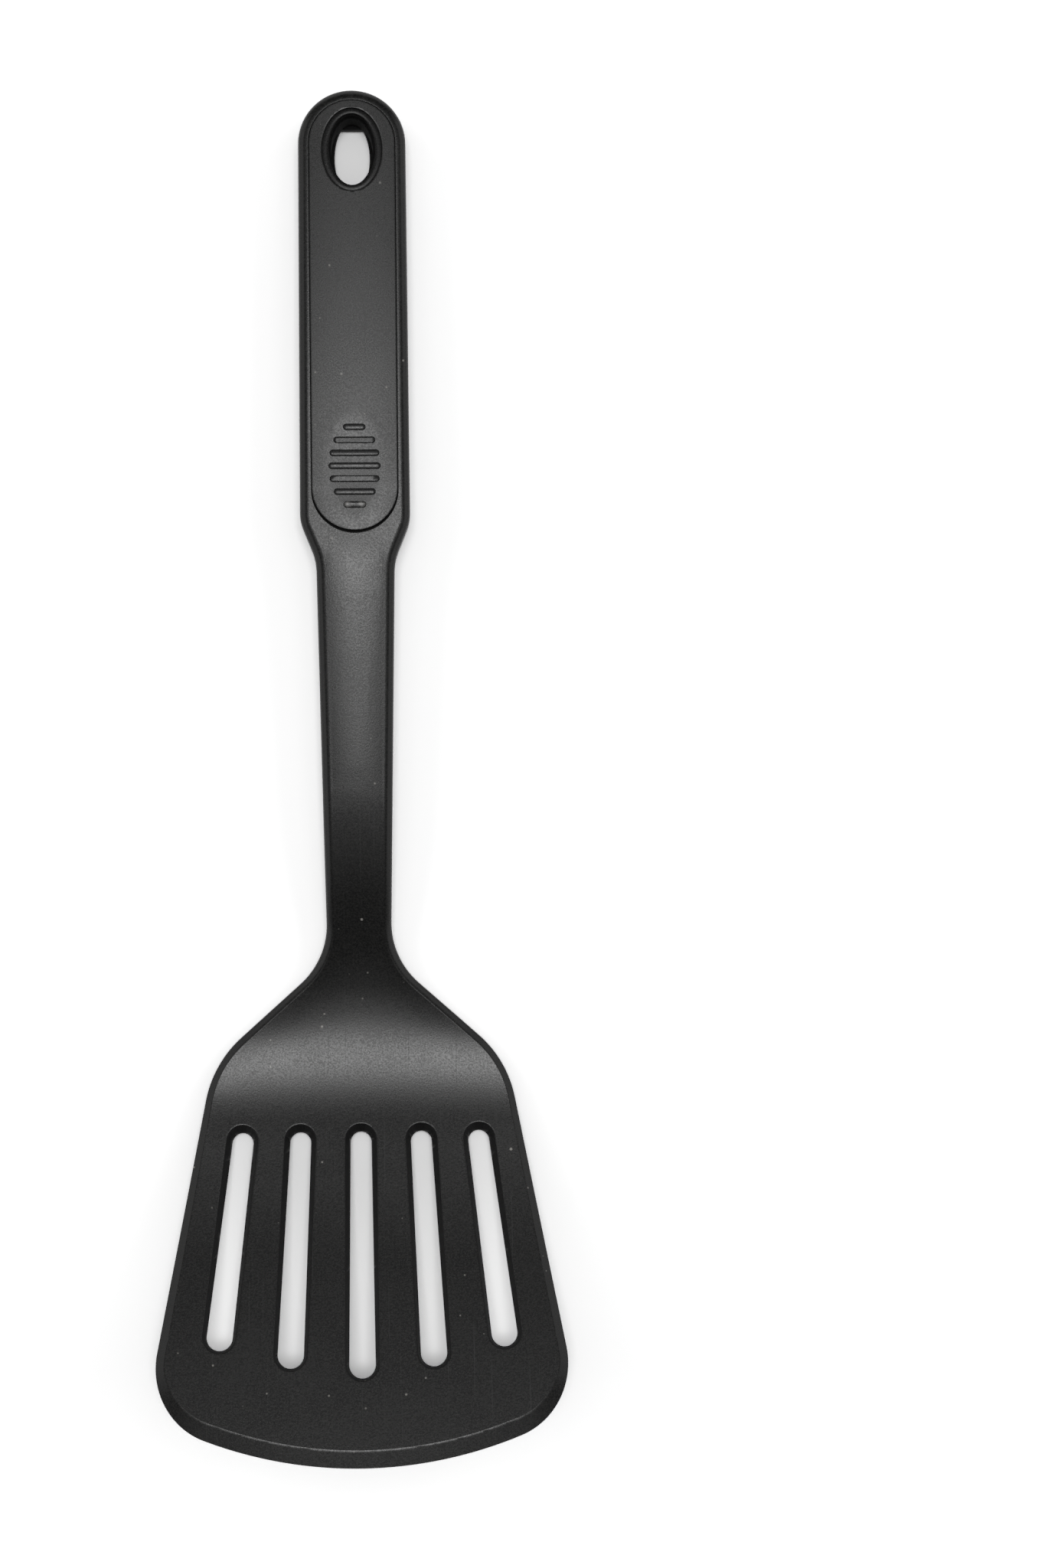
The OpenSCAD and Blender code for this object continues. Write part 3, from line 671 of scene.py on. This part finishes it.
def grained_nylon(name, colour, finish, roughness, speckle, depth, dust, specular=0.5):
    """Glass-filled nylon 66 from a spark-eroded mould: a deep black with a fine, even, satin grain.

    The real pits are about 0.1 mm wide, too fine to show, so they are drawn as coarse as they need to show.
    """
    m = new_material(name)
    place = add_node(m, "ShaderNodeTexCoord").outputs["Object"]
    # The values of a noise between which each effect goes from none to full.
    middle, speckled, scratched, patchy = (0.3, 0.7), (0.35, 0.72), (0.72, 0.8), (0.4, 0.62)
    # The mould's flow leaves broad, faint clouds of more and less gloss under the pits of its grain.
    pits, clouds, patches = (
        add_node(
            m, "ShaderNodeTexNoise", {"Scale": 1 / size, "Detail": detail, "Roughness": fineness},
            {"Vector": place})
        for size, detail, fineness in (
            (finish.grain, 1, 0.6), (finish.clouds, 3, 0.55), (finish.pale_patch, 4, 0.75)))
    # Washing and stacking leave hair-fine scratches, mostly along the turner.
    along, across = 1 / finish.scratch_length, 1 / finish.scratch_width
    leans = []
    for lean, shift in SCRATCH_LEANS:
        drawn_out = add_node(
            m, "ShaderNodeMapping",
            {"Rotation": (0, 0, lean), "Location": (shift, 0, 0), "Scale": (across, along, along)},
            {"Vector": place})
        lines = add_node(
            m, "ShaderNodeTexNoise", {"Scale": 1, "Detail": 1, "Roughness": 0.5}, {"Vector": drawn_out})
        leans.append(add_node(
            m, "ShaderNodeMapRange", dict(zip(RANGE, scratched + (0, 1))), {"Value": lines}))
    scratches = add_node(m, "ShaderNodeMath", {"operation": "MAXIMUM"}, dict(enumerate(leans)))
    # Specks of dust and flour, one in each cell and each of its own size.
    cells = add_node(
        m, "ShaderNodeTexVoronoi", {"feature": "F1", "Scale": 1 / finish.dust_spacing}, {"Vector": place})
    speck = finish.dust_size / finish.dust_spacing
    shrunk = add_node(
        m, "ShaderNodeMath", {"operation": "MULTIPLY_ADD", 1: 1.1 * speck},
        {0: cells.outputs["Color"], 2: cells.outputs["Distance"]})
    specks = add_node(
        m, "ShaderNodeMapRange", dict(zip(RANGE, (0.7 * speck, 0.3 * speck, 0, dust))), {"Value": shrunk})
    wear_and_highlight, recess = (
        add_node(m, "ShaderNodeAttribute", {"attribute_name": mark}).outputs["Fac"]
        for mark in ("wear_and_highlight", "recess"))
    # The crease of the blade's bevel is painted pale, partly as wear and partly as painted highlight, and
    # the ends of a grip bar get a painted highlight, both in a broken line.
    broken = add_node(m, "ShaderNodeMapRange", dict(zip(RANGE, patchy + (0.1, 1))), {"Value": patches})
    wear_and_highlight = add_node(m, "ShaderNodeMath", {"operation": "MULTIPLY"}, {0: wear_and_highlight, 1: broken})
    # Pits and clouds change the gloss a little, and scratches and recesses take it away.
    gloss, cloud = (
        add_node(m, "ShaderNodeMapRange", dict(zip(RANGE, middle + ends)), {"Value": noise})
        for noise, ends in ((pits, (roughness - 0.04, roughness + 0.05)), (clouds, (-0.015, 0.015))))
    for amount, strength in ((cloud, 1), (scratches, SCRATCH_ROUGHNESS), (recess, finish.recess_roughness)):
        gloss = add_node(
            m, "ShaderNodeMath", {"operation": "MULTIPLY_ADD", 1: strength}, {0: amount, 2: gloss})
    tint = add_node(m, "ShaderNodeMapRange", dict(zip(RANGE, speckled + (0, speckle))), {"Value": pits})
    # Slots, grooves and the eye's bore get painted shade: an even, unspeckled, darker black.
    layers = (
        (tint, finish.speckle_colour), (scratches, finish.scratch_colour), (wear_and_highlight, finish.wear_and_highlight_colour),
        (specks, finish.dust_colour), (recess, finish.recess_shade_colour))
    links = {}
    for amount, code in layers:
        mix = add_node(
            m, "ShaderNodeMix", {"data_type": "RGBA", 6: linear(colour), 7: linear(code)},
            {0: amount, **links})
        links = {6: mix.outputs[2]}
    bump = add_node(m, "ShaderNodeBump", {"Strength": 1, "Distance": depth}, {"Height": pits})
    shader = add_node(
        m, "ShaderNodeBsdfPrincipled", {"IOR": 1.53, "Specular IOR Level": specular},
        {"Base Color": links[6], "Roughness": gloss, "Normal": bump})
    add_node(m, "ShaderNodeOutputMaterial", links={"Surface": shader})
    return m


def matt_paper(stage):
    """Matt white paper, which shows an even white.

    What the camera, a reflection or a see-through sees of it is brighter than the light that it gives the
    turner, and the turner's soft shadow stays on it.
    """
    m = new_material("Matt white paper")
    path = add_node(m, "ShaderNodeLightPath").outputs
    echo = add_node(
        m, "ShaderNodeMath", {"operation": "MULTIPLY", 1: stage.floor_echo}, {0: path["Is Glossy Ray"]})
    seen = path["Is Camera Ray"]
    for ray in (echo, path["Is Transmission Ray"]):
        seen = add_node(m, "ShaderNodeMath", {"operation": "MAXIMUM"}, {0: seen, 1: ray})
    colour = linear(stage.floor_colour)
    bright = [stage.floor_gain * part for part in colour[:3]] + [1]
    plain, shown = (add_node(m, "ShaderNodeBsdfDiffuse", {"Color": shade}) for shade in (colour, bright))
    matt = add_node(m, "ShaderNodeMixShader", {}, {0: seen, 1: plain, 2: shown})
    lift = add_node(m, "ShaderNodeMath", {"operation": "MULTIPLY", 1: stage.floor_lift}, {0: seen})
    white = add_node(m, "ShaderNodeEmission", {"Color": colour}, {"Strength": lift})
    both = add_node(m, "ShaderNodeAddShader", {}, {0: matt, 1: white})
    add_node(m, "ShaderNodeOutputMaterial", links={"Surface": both})
    return m


# Pieces

def draw_body(settings, form):
    """The body's plan as a flat block, whose edges, slots and pocket are shaped before it is bent."""
    o = settings.outline
    bm = bmesh.new()
    corner_angle = math.atan2(
        form.corner_centre.y - form.front_centre.y, form.corner_centre.x - form.front_centre.x)
    shoulder = Vector((o.shoulder_width / 2, form.shoulder, 0))
    neck = Vector((o.neck_width / 2, form.neck, 0))
    shaft = Vector((o.shaft_width / 2, form.shaft, 0))
    handle = Vector((o.handle_width / 2, form.handle, 0))
    side_angle = touch_angle(form.corner_centre, o.corner_radius, shoulder)
    end_angle = touch_angle(form.end_centre, form.end_radius, handle)
    side = form.corner_centre + o.corner_radius * Vector((math.cos(side_angle), math.sin(side_angle), 0))
    end = form.end_centre + form.end_radius * Vector((math.cos(end_angle), math.sin(end_angle), 0))
    pen = Pen(bm, (0, form.front, 0), o.step)
    pen.arc(form.front_centre, corner_angle + math.pi / 2)
    pen.arc(form.corner_centre, side_angle - corner_angle)
    pen.corner(side, shoulder, neck, o.shoulder_radius)
    pen.corner(shoulder, neck, shaft, o.neck_fillet)
    pen.corner(neck, shaft, handle, o.handle_inside)
    pen.corner(shaft, handle, end, o.handle_outside)
    pen.line(end)
    pen.arc(form.end_centre, math.pi / 2 - end_angle)
    for v in bm.verts:
        if abs(v.co.x) < WELD:
            v.co.x = 0
    form.half_widths = sorted((v.co.y, v.co.x) for v in bm.verts)
    bmesh.ops.mirror(bm, geom=bm.verts[:] + bm.edges[:], merge_dist=WELD, axis="X")
    thicken(bm, BLOCK)
    return bm


def cut_slot(bm, settings, form, offset, fan, rise):
    """One slot as a tube of loops. Returns its upper and lower loops and its rim's edges."""
    s, tilt = settings.slots, form.slot_tilt
    run = (s.top - s.bottom - rise) / math.cos(fan) - (s.width + s.upper_width) / 2
    verts = stadium(bm, s.width / 2 + 2 * s.rim, run, SLOT_SEGMENTS)
    down = Matrix.Translation((0, -run - s.upper_width / 2, 0))
    turn = Matrix.Translation((offset, s.top, 0)) @ Matrix.Rotation(fan, 4, "Z") @ down
    flatten = Matrix.Translation((0, form.front, 0)) @ Matrix.Scale(math.cos(tilt), 4, (0, 1, 0)) @ turn
    bmesh.ops.transform(bm, matrix=flatten, verts=verts)
    start, end = flatten @ Vector((0, 0, 0)), flatten @ Vector((0, run, 0))
    lean = math.tan(s.draft)

    def radius(y):
        return lookup(y, [(start.y, s.width / 2), (end.y, s.upper_width / 2)])

    def thickness(y):
        return (form.face(y) - form.back(y)) * math.cos(tilt)

    shift = Vector((0, -1, 0)) * math.sin(tilt)
    upper = loop_edges(verts)
    rim = next_loop(bm, upper, around_spine(start, end, radius, 0))
    under = around_spine(start, end, lambda y: radius(y) - thickness(y) * lean, -BLOCK)
    lower_rim = next_loop(bm, rim, lambda co: under(co) + shift * thickness(co.y))
    middle = (start + end) / 2
    wide = around_spine(
        start + shift * thickness(middle.y), end + shift * thickness(middle.y),
        lambda y: radius(y) - thickness(y) * lean + 2 * s.rim, -BLOCK)
    lower = next_loop(bm, lower_rim, wide)
    return upper, lower, rim


def cut_pocket(bm, settings, form):
    """The pocket for the cover, and under it the bore for the eye and the smaller opening in the back.

    Returns its upper and lower loops and the rims of the pocket and of the back opening.
    """
    c, eye = settings.cover, settings.eye
    radius = settings.outline.handle_end_width / 2 - c.rim
    low = form.handle - c.reach - c.end_gap + radius
    run = form.half - c.rim - radius - low
    start, end = Vector((0, low, 0)), Vector((0, low + run, 0))
    verts = stadium(bm, radius + POCKET_RING, run, INLAY_SEGMENTS)
    bmesh.ops.translate(bm, verts=verts, vec=start)
    upper = loop_edges(verts)
    rim = next_loop(bm, upper, around_spine(start, end, lambda y: radius, 0))
    floor = next_loop(bm, rim, lambda co: Vector((co.x, co.y, -c.thickness - c.gap)))
    pocket_rim = list(rim)
    centre = Vector((0, form.half - eye.position, 0))
    wide = eye.width / 2 - eye.flange_step + c.gap, eye.length / 2 - eye.flange_step + c.gap
    bore = loop_edges(oval(
        bm, 2 * wide[0], 2 * wide[1], centre + Vector((0, 0, -c.thickness - c.gap)), BORE_SEGMENTS))
    fill_sheet(bm, floor + bore)
    deep = -c.thickness - eye.tube_length
    bore = next_loop(bm, bore, lambda co: Vector((co.x, co.y, deep)))
    back = eye.back_width / 2, eye.back_length / 2
    step_edge = next_loop(bm, bore, around_oval(centre, wide, back, deep, eye.back_flat))
    back_rim = next_loop(bm, step_edge, lambda co: Vector((co.x, co.y, -BLOCK)))
    grow = 2 * BACK_EDGE
    lower = next_loop(bm, back_rim, lambda co: centre + Vector((
        (co.x - centre.x) * (1 + grow / back[0]), (co.y - centre.y) * (1 + grow / eye.back_flat), -BLOCK)))
    return upper, lower, pocket_rim, back_rim


def build_body(settings):
    """The block with shaped edges, cut by its slots and its pocket, and bent to the side view."""
    form = Form(settings)
    e, s = settings.edges, settings.slots
    bm = draw_body(settings, form)
    shape_rim(bm, 0, form.upper_width, form.upper_depth, form.roundness, 8, True, FACE_RING)
    shape_rim(bm, -BLOCK, form.under, form.under, form.round_all, 6, False, UNDER_RING)
    top_edges, bottom_edges = open_sheets(bm, 0, -BLOCK)
    slots = [(side * offset, side * fan, rise) for side in (-1, 1) for offset, fan, rise in (
        (s.inner_offset, s.inner_fan, s.inner_rise), (s.outer_offset, s.outer_fan, s.outer_rise))]
    rims = []
    for offset, fan, rise in slots + [(0, 0, 0)]:
        upper, lower, rim = cut_slot(bm, settings, form, offset, fan, rise)
        top_edges += upper
        bottom_edges += lower
        rims += rim
    upper, lower, pocket_rim, back_rim = cut_pocket(bm, settings, form)
    fill_sheet(bm, top_edges + upper)
    fill_sheet(bm, bottom_edges + lower)
    soften(bm, rims, s.rim, 3)
    soften(bm, pocket_rim, settings.cover.lip)
    soften(bm, back_rim, BACK_EDGE)
    half_width = settings.outline.blade_width / 2
    cut_grid(bm, form.front, form.half, e.grid, "Y")
    cut_grid(bm, -half_width, half_width, 1.8 * e.grid, "X")
    bend_body(bm, settings, form)
    return bm


def bend_body(bm, settings, form):
    """Moves the block's top to the face's side line and its underside to the back's.

    What is shaped near the top or the underside keeps its depth, and the walls between are drawn in. The
    walls of slots, pocket and bore are marked as recess, where the material paints shade and adds roughness.
    """
    bore = settings.cover.thickness + settings.eye.tube_length
    recess = layer(bm.verts.layers.float, "recess")
    slots_start, slots_end = form.front + settings.slots.bottom, form.front + settings.slots.top
    for v in bm.verts:
        x, y, z = v.co
        past = max(y - form.end_centre.y, 0)
        inner = (form.end_radius if past else form.half_width(y)) - form.upper_width(y)
        in_slot = slots_start - MM < y < slots_end + MM and abs(x) < inner - MM
        in_pocket = y > form.handle - settings.cover.reach - MM and math.hypot(x, past) < inner
        # A point of the underside counts only where a wall rises from it.
        walled = max(e.other_vert(v).co.z for e in v.link_edges) > -BLOCK / 2
        # The walls of slots and pocket get painted shade.
        v[recess] = 1 if z < -settings.cover.lip / 2 and walled and (in_slot or in_pocket) else 0
    for v in bm.verts:
        x, y, z = v.co
        inner = max(form.half_width(y) - form.upper_width(y), MM)
        across = 1 - min(abs(x) / inner, 1) ** 2
        face = form.face(y) + form.face_crown(y) * across
        back = form.back(y) - form.belly(y) * across
        above = -(bore if y > form.handle else form.upper_depth(y)) - WELD
        below = -BLOCK + form.under(y) + WELD
        if z >= above:
            v.co.z = face + z
        elif z <= below:
            v.co.z = back + z + BLOCK
        else:
            part = (above - z) / (above - below)
            v.co.z = (face + above) * (1 - part) + (back + below + BLOCK) * part


def raise_bars(bm, c, middle):
    """The grip bars, each in a narrow moat. Returns the moats' outer edges and the bars' upper edges."""
    moats, tops = [], []
    half = c.bar_width / 2
    for i in range(c.bar_count):
        place = (i - (c.bar_count - 1) / 2) * c.bar_pitch
        run = bar_length(c, place) - c.bar_width
        verts = stadium(bm, half + c.bar_moat, run, BAR_SEGMENTS)
        bmesh.ops.rotate(bm, verts=verts, cent=(0, 0, 0), matrix=Matrix.Rotation(-math.pi / 2, 3, "Z"))
        start, end = Vector((-run / 2, middle + place, 0)), Vector((run / 2, middle + place, 0))
        bmesh.ops.translate(bm, verts=verts, vec=start)
        loop = loop_edges(verts)
        moats += loop
        for grow in (0.6, 0.1):
            loop = next_loop(bm, loop, around_spine(
                start, end, lambda y, g=grow: half + g * c.bar_moat, -0.6 * c.bar_moat))
        loop = next_loop(bm, loop, around_spine(start, end, lambda y: half, c.bar_height))
        tops += loop
        bmesh.ops.contextual_create(bm, geom=loop)
    return moats, tops


def bar_length(c, place):
    """Length of the bar at a distance from the middle of the bars' oval field."""
    return c.longest_bar * math.sqrt(1 - (2 * place / c.field_length) ** 2)


def build_cover(settings):
    """The inlay: a stadium plate with a crowned face, a thumb rest and raised bars."""
    form = Form(settings)
    c, eye = settings.cover, settings.eye
    radius = settings.outline.handle_end_width / 2 - c.rim - c.gap
    low = -settings.outline.handle_length - c.reach + c.gap + radius
    run = -c.rim - c.gap - radius - low
    bm = bmesh.new()
    verts = stadium(bm, radius, run, INLAY_SEGMENTS)
    bmesh.ops.translate(bm, verts=verts, vec=(0, low, 0))
    thicken(bm, c.thickness)
    shape_rim(bm, 0, lambda y: c.edge, lambda y: c.edge, form.round_all, 4, True, COVER_RING)
    top_edges, bottom_edges = open_sheets(bm, 0, -c.thickness)

    centre = Vector((0, -eye.position, 0))
    hole = eye.width / 2 + eye.gap, eye.length / 2 + eye.gap
    outer = loop_edges(oval(
        bm, 2 * (hole[0] + EYE_RING), 2 * (hole[1] + EYE_RING), centre, INLAY_SEGMENTS))
    eye_rim = next_loop(bm, outer, around_oval(centre, hole, hole, 0))
    under = next_loop(bm, eye_rim, around_oval(centre, hole, hole, -c.thickness))
    middle = low - radius - c.gap + c.field_position
    moats, bar_tops = raise_bars(bm, c, middle)
    fill_sheet(bm, top_edges + outer + moats)
    fill_sheet(bm, bottom_edges + under)
    soften(bm, bar_tops, BAR_EDGE)
    soften(bm, eye_rim, EYE_HOLE_EDGE)
    cut_grid(bm, low - radius, low + run + radius, COVER_GRID[0], "Y")
    cut_grid(bm, -radius, radius, COVER_GRID[1], "X")

    lowest = -(c.bar_count - 1) / 2 * c.bar_pitch
    highlight_below = middle + lowest + c.bar_width
    highlight_beyond = bar_length(c, lowest) / 2 - c.bar_width
    wear_and_highlight, recess = (layer(bm.verts.layers.float, name) for name in ("wear_and_highlight", "recess"))
    for v in bm.verts:
        x, y, z = v.co
        # The cover's sides and underside, down in the groove, get painted shade.
        v[recess] = 1 if z < -c.edge / 2 else 0
        # The lowest bar's ends get a painted highlight.
        v[wear_and_highlight] = BAR_HIGHLIGHT if z > WELD and y < highlight_below and abs(x) > highlight_beyond else 0
        if z < -c.thickness / 2:
            continue
        v.co.z += c.crown * (1 - (x / radius) ** 2)
        if z <= WELD:
            across = (2 * x / c.dish_width) ** 2 + (2 * (y - middle) / c.dish_length) ** 2
            v.co.z -= c.dish_depth * max(1 - across, 0) ** 1.5
        # The roll starts gently below the straight sides and is full at the round end.
        into_end = min(max((low - y) / radius, 0), 1)
        from_end = radius - math.hypot(x, min(y - low, 0))
        v.co.z -= c.roll * max(1 - from_end / c.roll_reach, 0) ** 2 * into_end ** 0.5
    bmesh.ops.transform(bm, matrix=form.handle_frame, verts=bm.verts[:])
    return bm


def build_eye(settings):
    """The eye: loops of one oval, from the flange's underside over its lip and down the bore."""
    form = Form(settings)
    c, eye = settings.cover, settings.eye
    outer, opening = (eye.width / 2, eye.length / 2), (eye.opening_width / 2, eye.opening_length / 2)
    under, floor = -c.thickness, -c.thickness - eye.tube_length
    # Each loop is a share of the way from the flange's outer edge to its opening, an inset, a height and
    # how much painted shade it gets, as in a recess.
    flange = (
        (0, eye.flange_step, floor, 1), (0, eye.flange_step, under, 1), (0, 0, under, 1),
        (0, 0, -0.1 * MM, 1), (0, 0.02 * MM, -0.02 * MM, 0.5), (0, 0.08 * MM, 0, 0),
        (0.5, 0, 0.01 * MM, 0), (0.78, 0, 0, 0))
    lip = tuple((part, 0, -fall * MM, depth) for part, fall, depth in (
        (0.86, 0.04, 0), (0.92, 0.14, 0.3), (0.97, 0.35, 1), (1, 0.7, 1)))
    step = (
        (1, 0, under, 1), (1, eye.bore_step, under - 0.2 * MM, 1), (1, eye.bore_step, floor, 1))
    bm = bmesh.new()
    recess = layer(bm.verts.layers.float, "recess")
    origin = Vector((0, 0, 0))
    first = loop = loop_edges(oval(bm, eye.width, eye.length, origin, INLAY_SEGMENTS))
    for part, inset, height, depth in flange + lip + step:
        size = [a + (b - a) * part - inset for a, b in zip(outer, opening)]
        place = around_oval(origin, outer, size, height)
        if part == 0 and height == floor:
            for v in bm.verts:
                v.co = place(v.co.copy())
        else:
            loop = next_loop(bm, loop, place)
        for v in {v for edge in loop for v in edge.verts}:
            v[recess] = depth
    bmesh.ops.bridge_loops(bm, edges=first + loop)
    bmesh.ops.translate(bm, verts=bm.verts[:], vec=(0, -eye.position, 0))
    bmesh.ops.transform(bm, matrix=form.handle_frame, verts=bm.verts[:])
    return bm


# Operators

class MESH_OT_turner_body(bpy.types.Operator):
    """Model the one-piece body with its slots, bent side view and cover pocket"""

    bl_idname = "mesh.turner_body"
    bl_label = "Turner body"

    def execute(self, context):
        settings = context.scene.turner
        f = settings.finish
        material = grained_nylon(
            "Glass-filled nylon, spark-eroded", f.body_colour, f, f.body_roughness, f.speckle, BODY_GRAIN, 1)
        piece = finish_piece(build_body(settings), "TurnerBody", material, "turner_body")
        return {"FINISHED"}


class MESH_OT_turner_cover(bpy.types.Operator):
    """Model the handle's inset cover with its thumb rest and grip bars"""

    bl_idname = "mesh.turner_cover"
    bl_label = "Handle cover"

    def execute(self, context):
        settings = context.scene.turner
        f = settings.finish
        material = grained_nylon(
            "Nylon, fine satin", f.cover_colour, f, f.cover_roughness, f.cover_speckle, COVER_GRAIN,
            HANDLE_DUST)
        piece = finish_piece(build_cover(settings), "HandleCover", material, "handle_cover")
        return {"FINISHED"}


class MESH_OT_turner_eye(bpy.types.Operator):
    """Model the oval eye that lines the hanging hole"""

    bl_idname = "mesh.turner_eye"
    bl_label = "Hanging eye"

    def execute(self, context):
        settings = context.scene.turner
        f = settings.finish
        material = grained_nylon(
            "Nylon, smooth", f.eye_colour, f, f.cover_roughness, f.cover_speckle, EYE_GRAIN,
            HANDLE_DUST, f.eye_specular)
        piece = finish_piece(build_eye(settings), "HangingEye", material, "hanging_eye")
        return {"FINISHED"}


def add_table(stage):
    bm = bmesh.new()
    bmesh.ops.create_grid(bm, x_segments=1, y_segments=1, size=TABLE_HALF)
    mesh = bpy.data.meshes.new("Table")
    bm.to_mesh(mesh)
    bm.free()
    mesh.materials.append(matt_paper(stage))
    table = bpy.data.objects.new("Table", mesh)
    bpy.context.scene.collection.objects.link(table)


def add_softbox(name, place, aim, size, power):
    light = bpy.data.lights.new(name, "AREA")
    light.shape = "RECTANGLE"
    light.size, light.size_y = size
    light.energy = power
    lamp = bpy.data.objects.new(name, light)
    bpy.context.scene.collection.objects.link(lamp)
    lamp.location = place
    lamp.rotation_euler = (Vector(aim) - Vector(place)).to_track_quat("-Z", "Y").to_euler()


def add_world():
    world = bpy.data.worlds.new("Studio")
    world.use_nodes = True
    background = world.node_tree.nodes["Background"].inputs
    background["Color"].default_value = (1, 1, 1, 1)
    background["Strength"].default_value = WORLD_LIGHT
    bpy.context.scene.world = world


def add_camera(stage):
    data = bpy.data.cameras.new("Camera")
    data.sensor_fit = "VERTICAL"
    data.sensor_height = SENSOR
    data.lens = stage.camera_lens / MM
    camera = bpy.data.objects.new("Camera", data)
    camera.location = (stage.camera_side, -stage.camera_setback, stage.camera_height)
    camera.rotation_euler = (0, -stage.camera_yaw, -stage.camera_roll)
    bpy.context.scene.collection.objects.link(camera)
    bpy.context.scene.camera = camera


class SCENE_OT_turner_stage(bpy.types.Operator):
    """Set the table, the soft studio lights and the camera straight above"""

    bl_idname = "scene.turner_stage"
    bl_label = "Table, lights and camera"

    def execute(self, context):
        stage = context.scene.turner.stage
        add_table(stage)
        for lamp in LAMPS:
            add_softbox(*lamp)
        add_world()
        add_camera(stage)
        context.scene.view_settings.view_transform = "Standard"
        return {"FINISHED"}


class VIEW3D_PT_turner(bpy.types.Panel):
    bl_label = "Turner"
    bl_idname = "VIEW3D_PT_turner"
    bl_space_type = "VIEW_3D"
    bl_region_type = "UI"
    bl_category = "Turner"

    def draw(self, context):
        layout = self.layout
        settings = context.scene.turner
        for operator in OPERATORS:
            layout.operator(operator.bl_idname)
        for part in ("outline", "side", "edges", "slots", "cover", "eye", "finish", "stage"):
            box = layout.box()
            group = getattr(settings, part)
            for name in group.__annotations__:
                box.prop(group, name)


GROUPS = (
    TurnerOutline, TurnerSide, TurnerEdges, TurnerSlots, TurnerCover, TurnerEye, TurnerFinish,
    TurnerStage, TurnerSettings)
OPERATORS = (
    MESH_OT_turner_body, MESH_OT_turner_cover, MESH_OT_turner_eye, SCENE_OT_turner_stage)


def register():
    for cls in GROUPS + OPERATORS + (VIEW3D_PT_turner,):
        bpy.utils.register_class(cls)
    bpy.types.Scene.turner = PointerProperty(type=TurnerSettings)


def unregister():
    del bpy.types.Scene.turner
    for cls in reversed(GROUPS + OPERATORS + (VIEW3D_PT_turner,)):
        bpy.utils.unregister_class(cls)


def main():
    register()
    bpy.ops.mesh.turner_body()
    bpy.ops.mesh.turner_cover()
    bpy.ops.mesh.turner_eye()
    bpy.ops.scene.turner_stage()


if __name__ == "__main__":
    main()
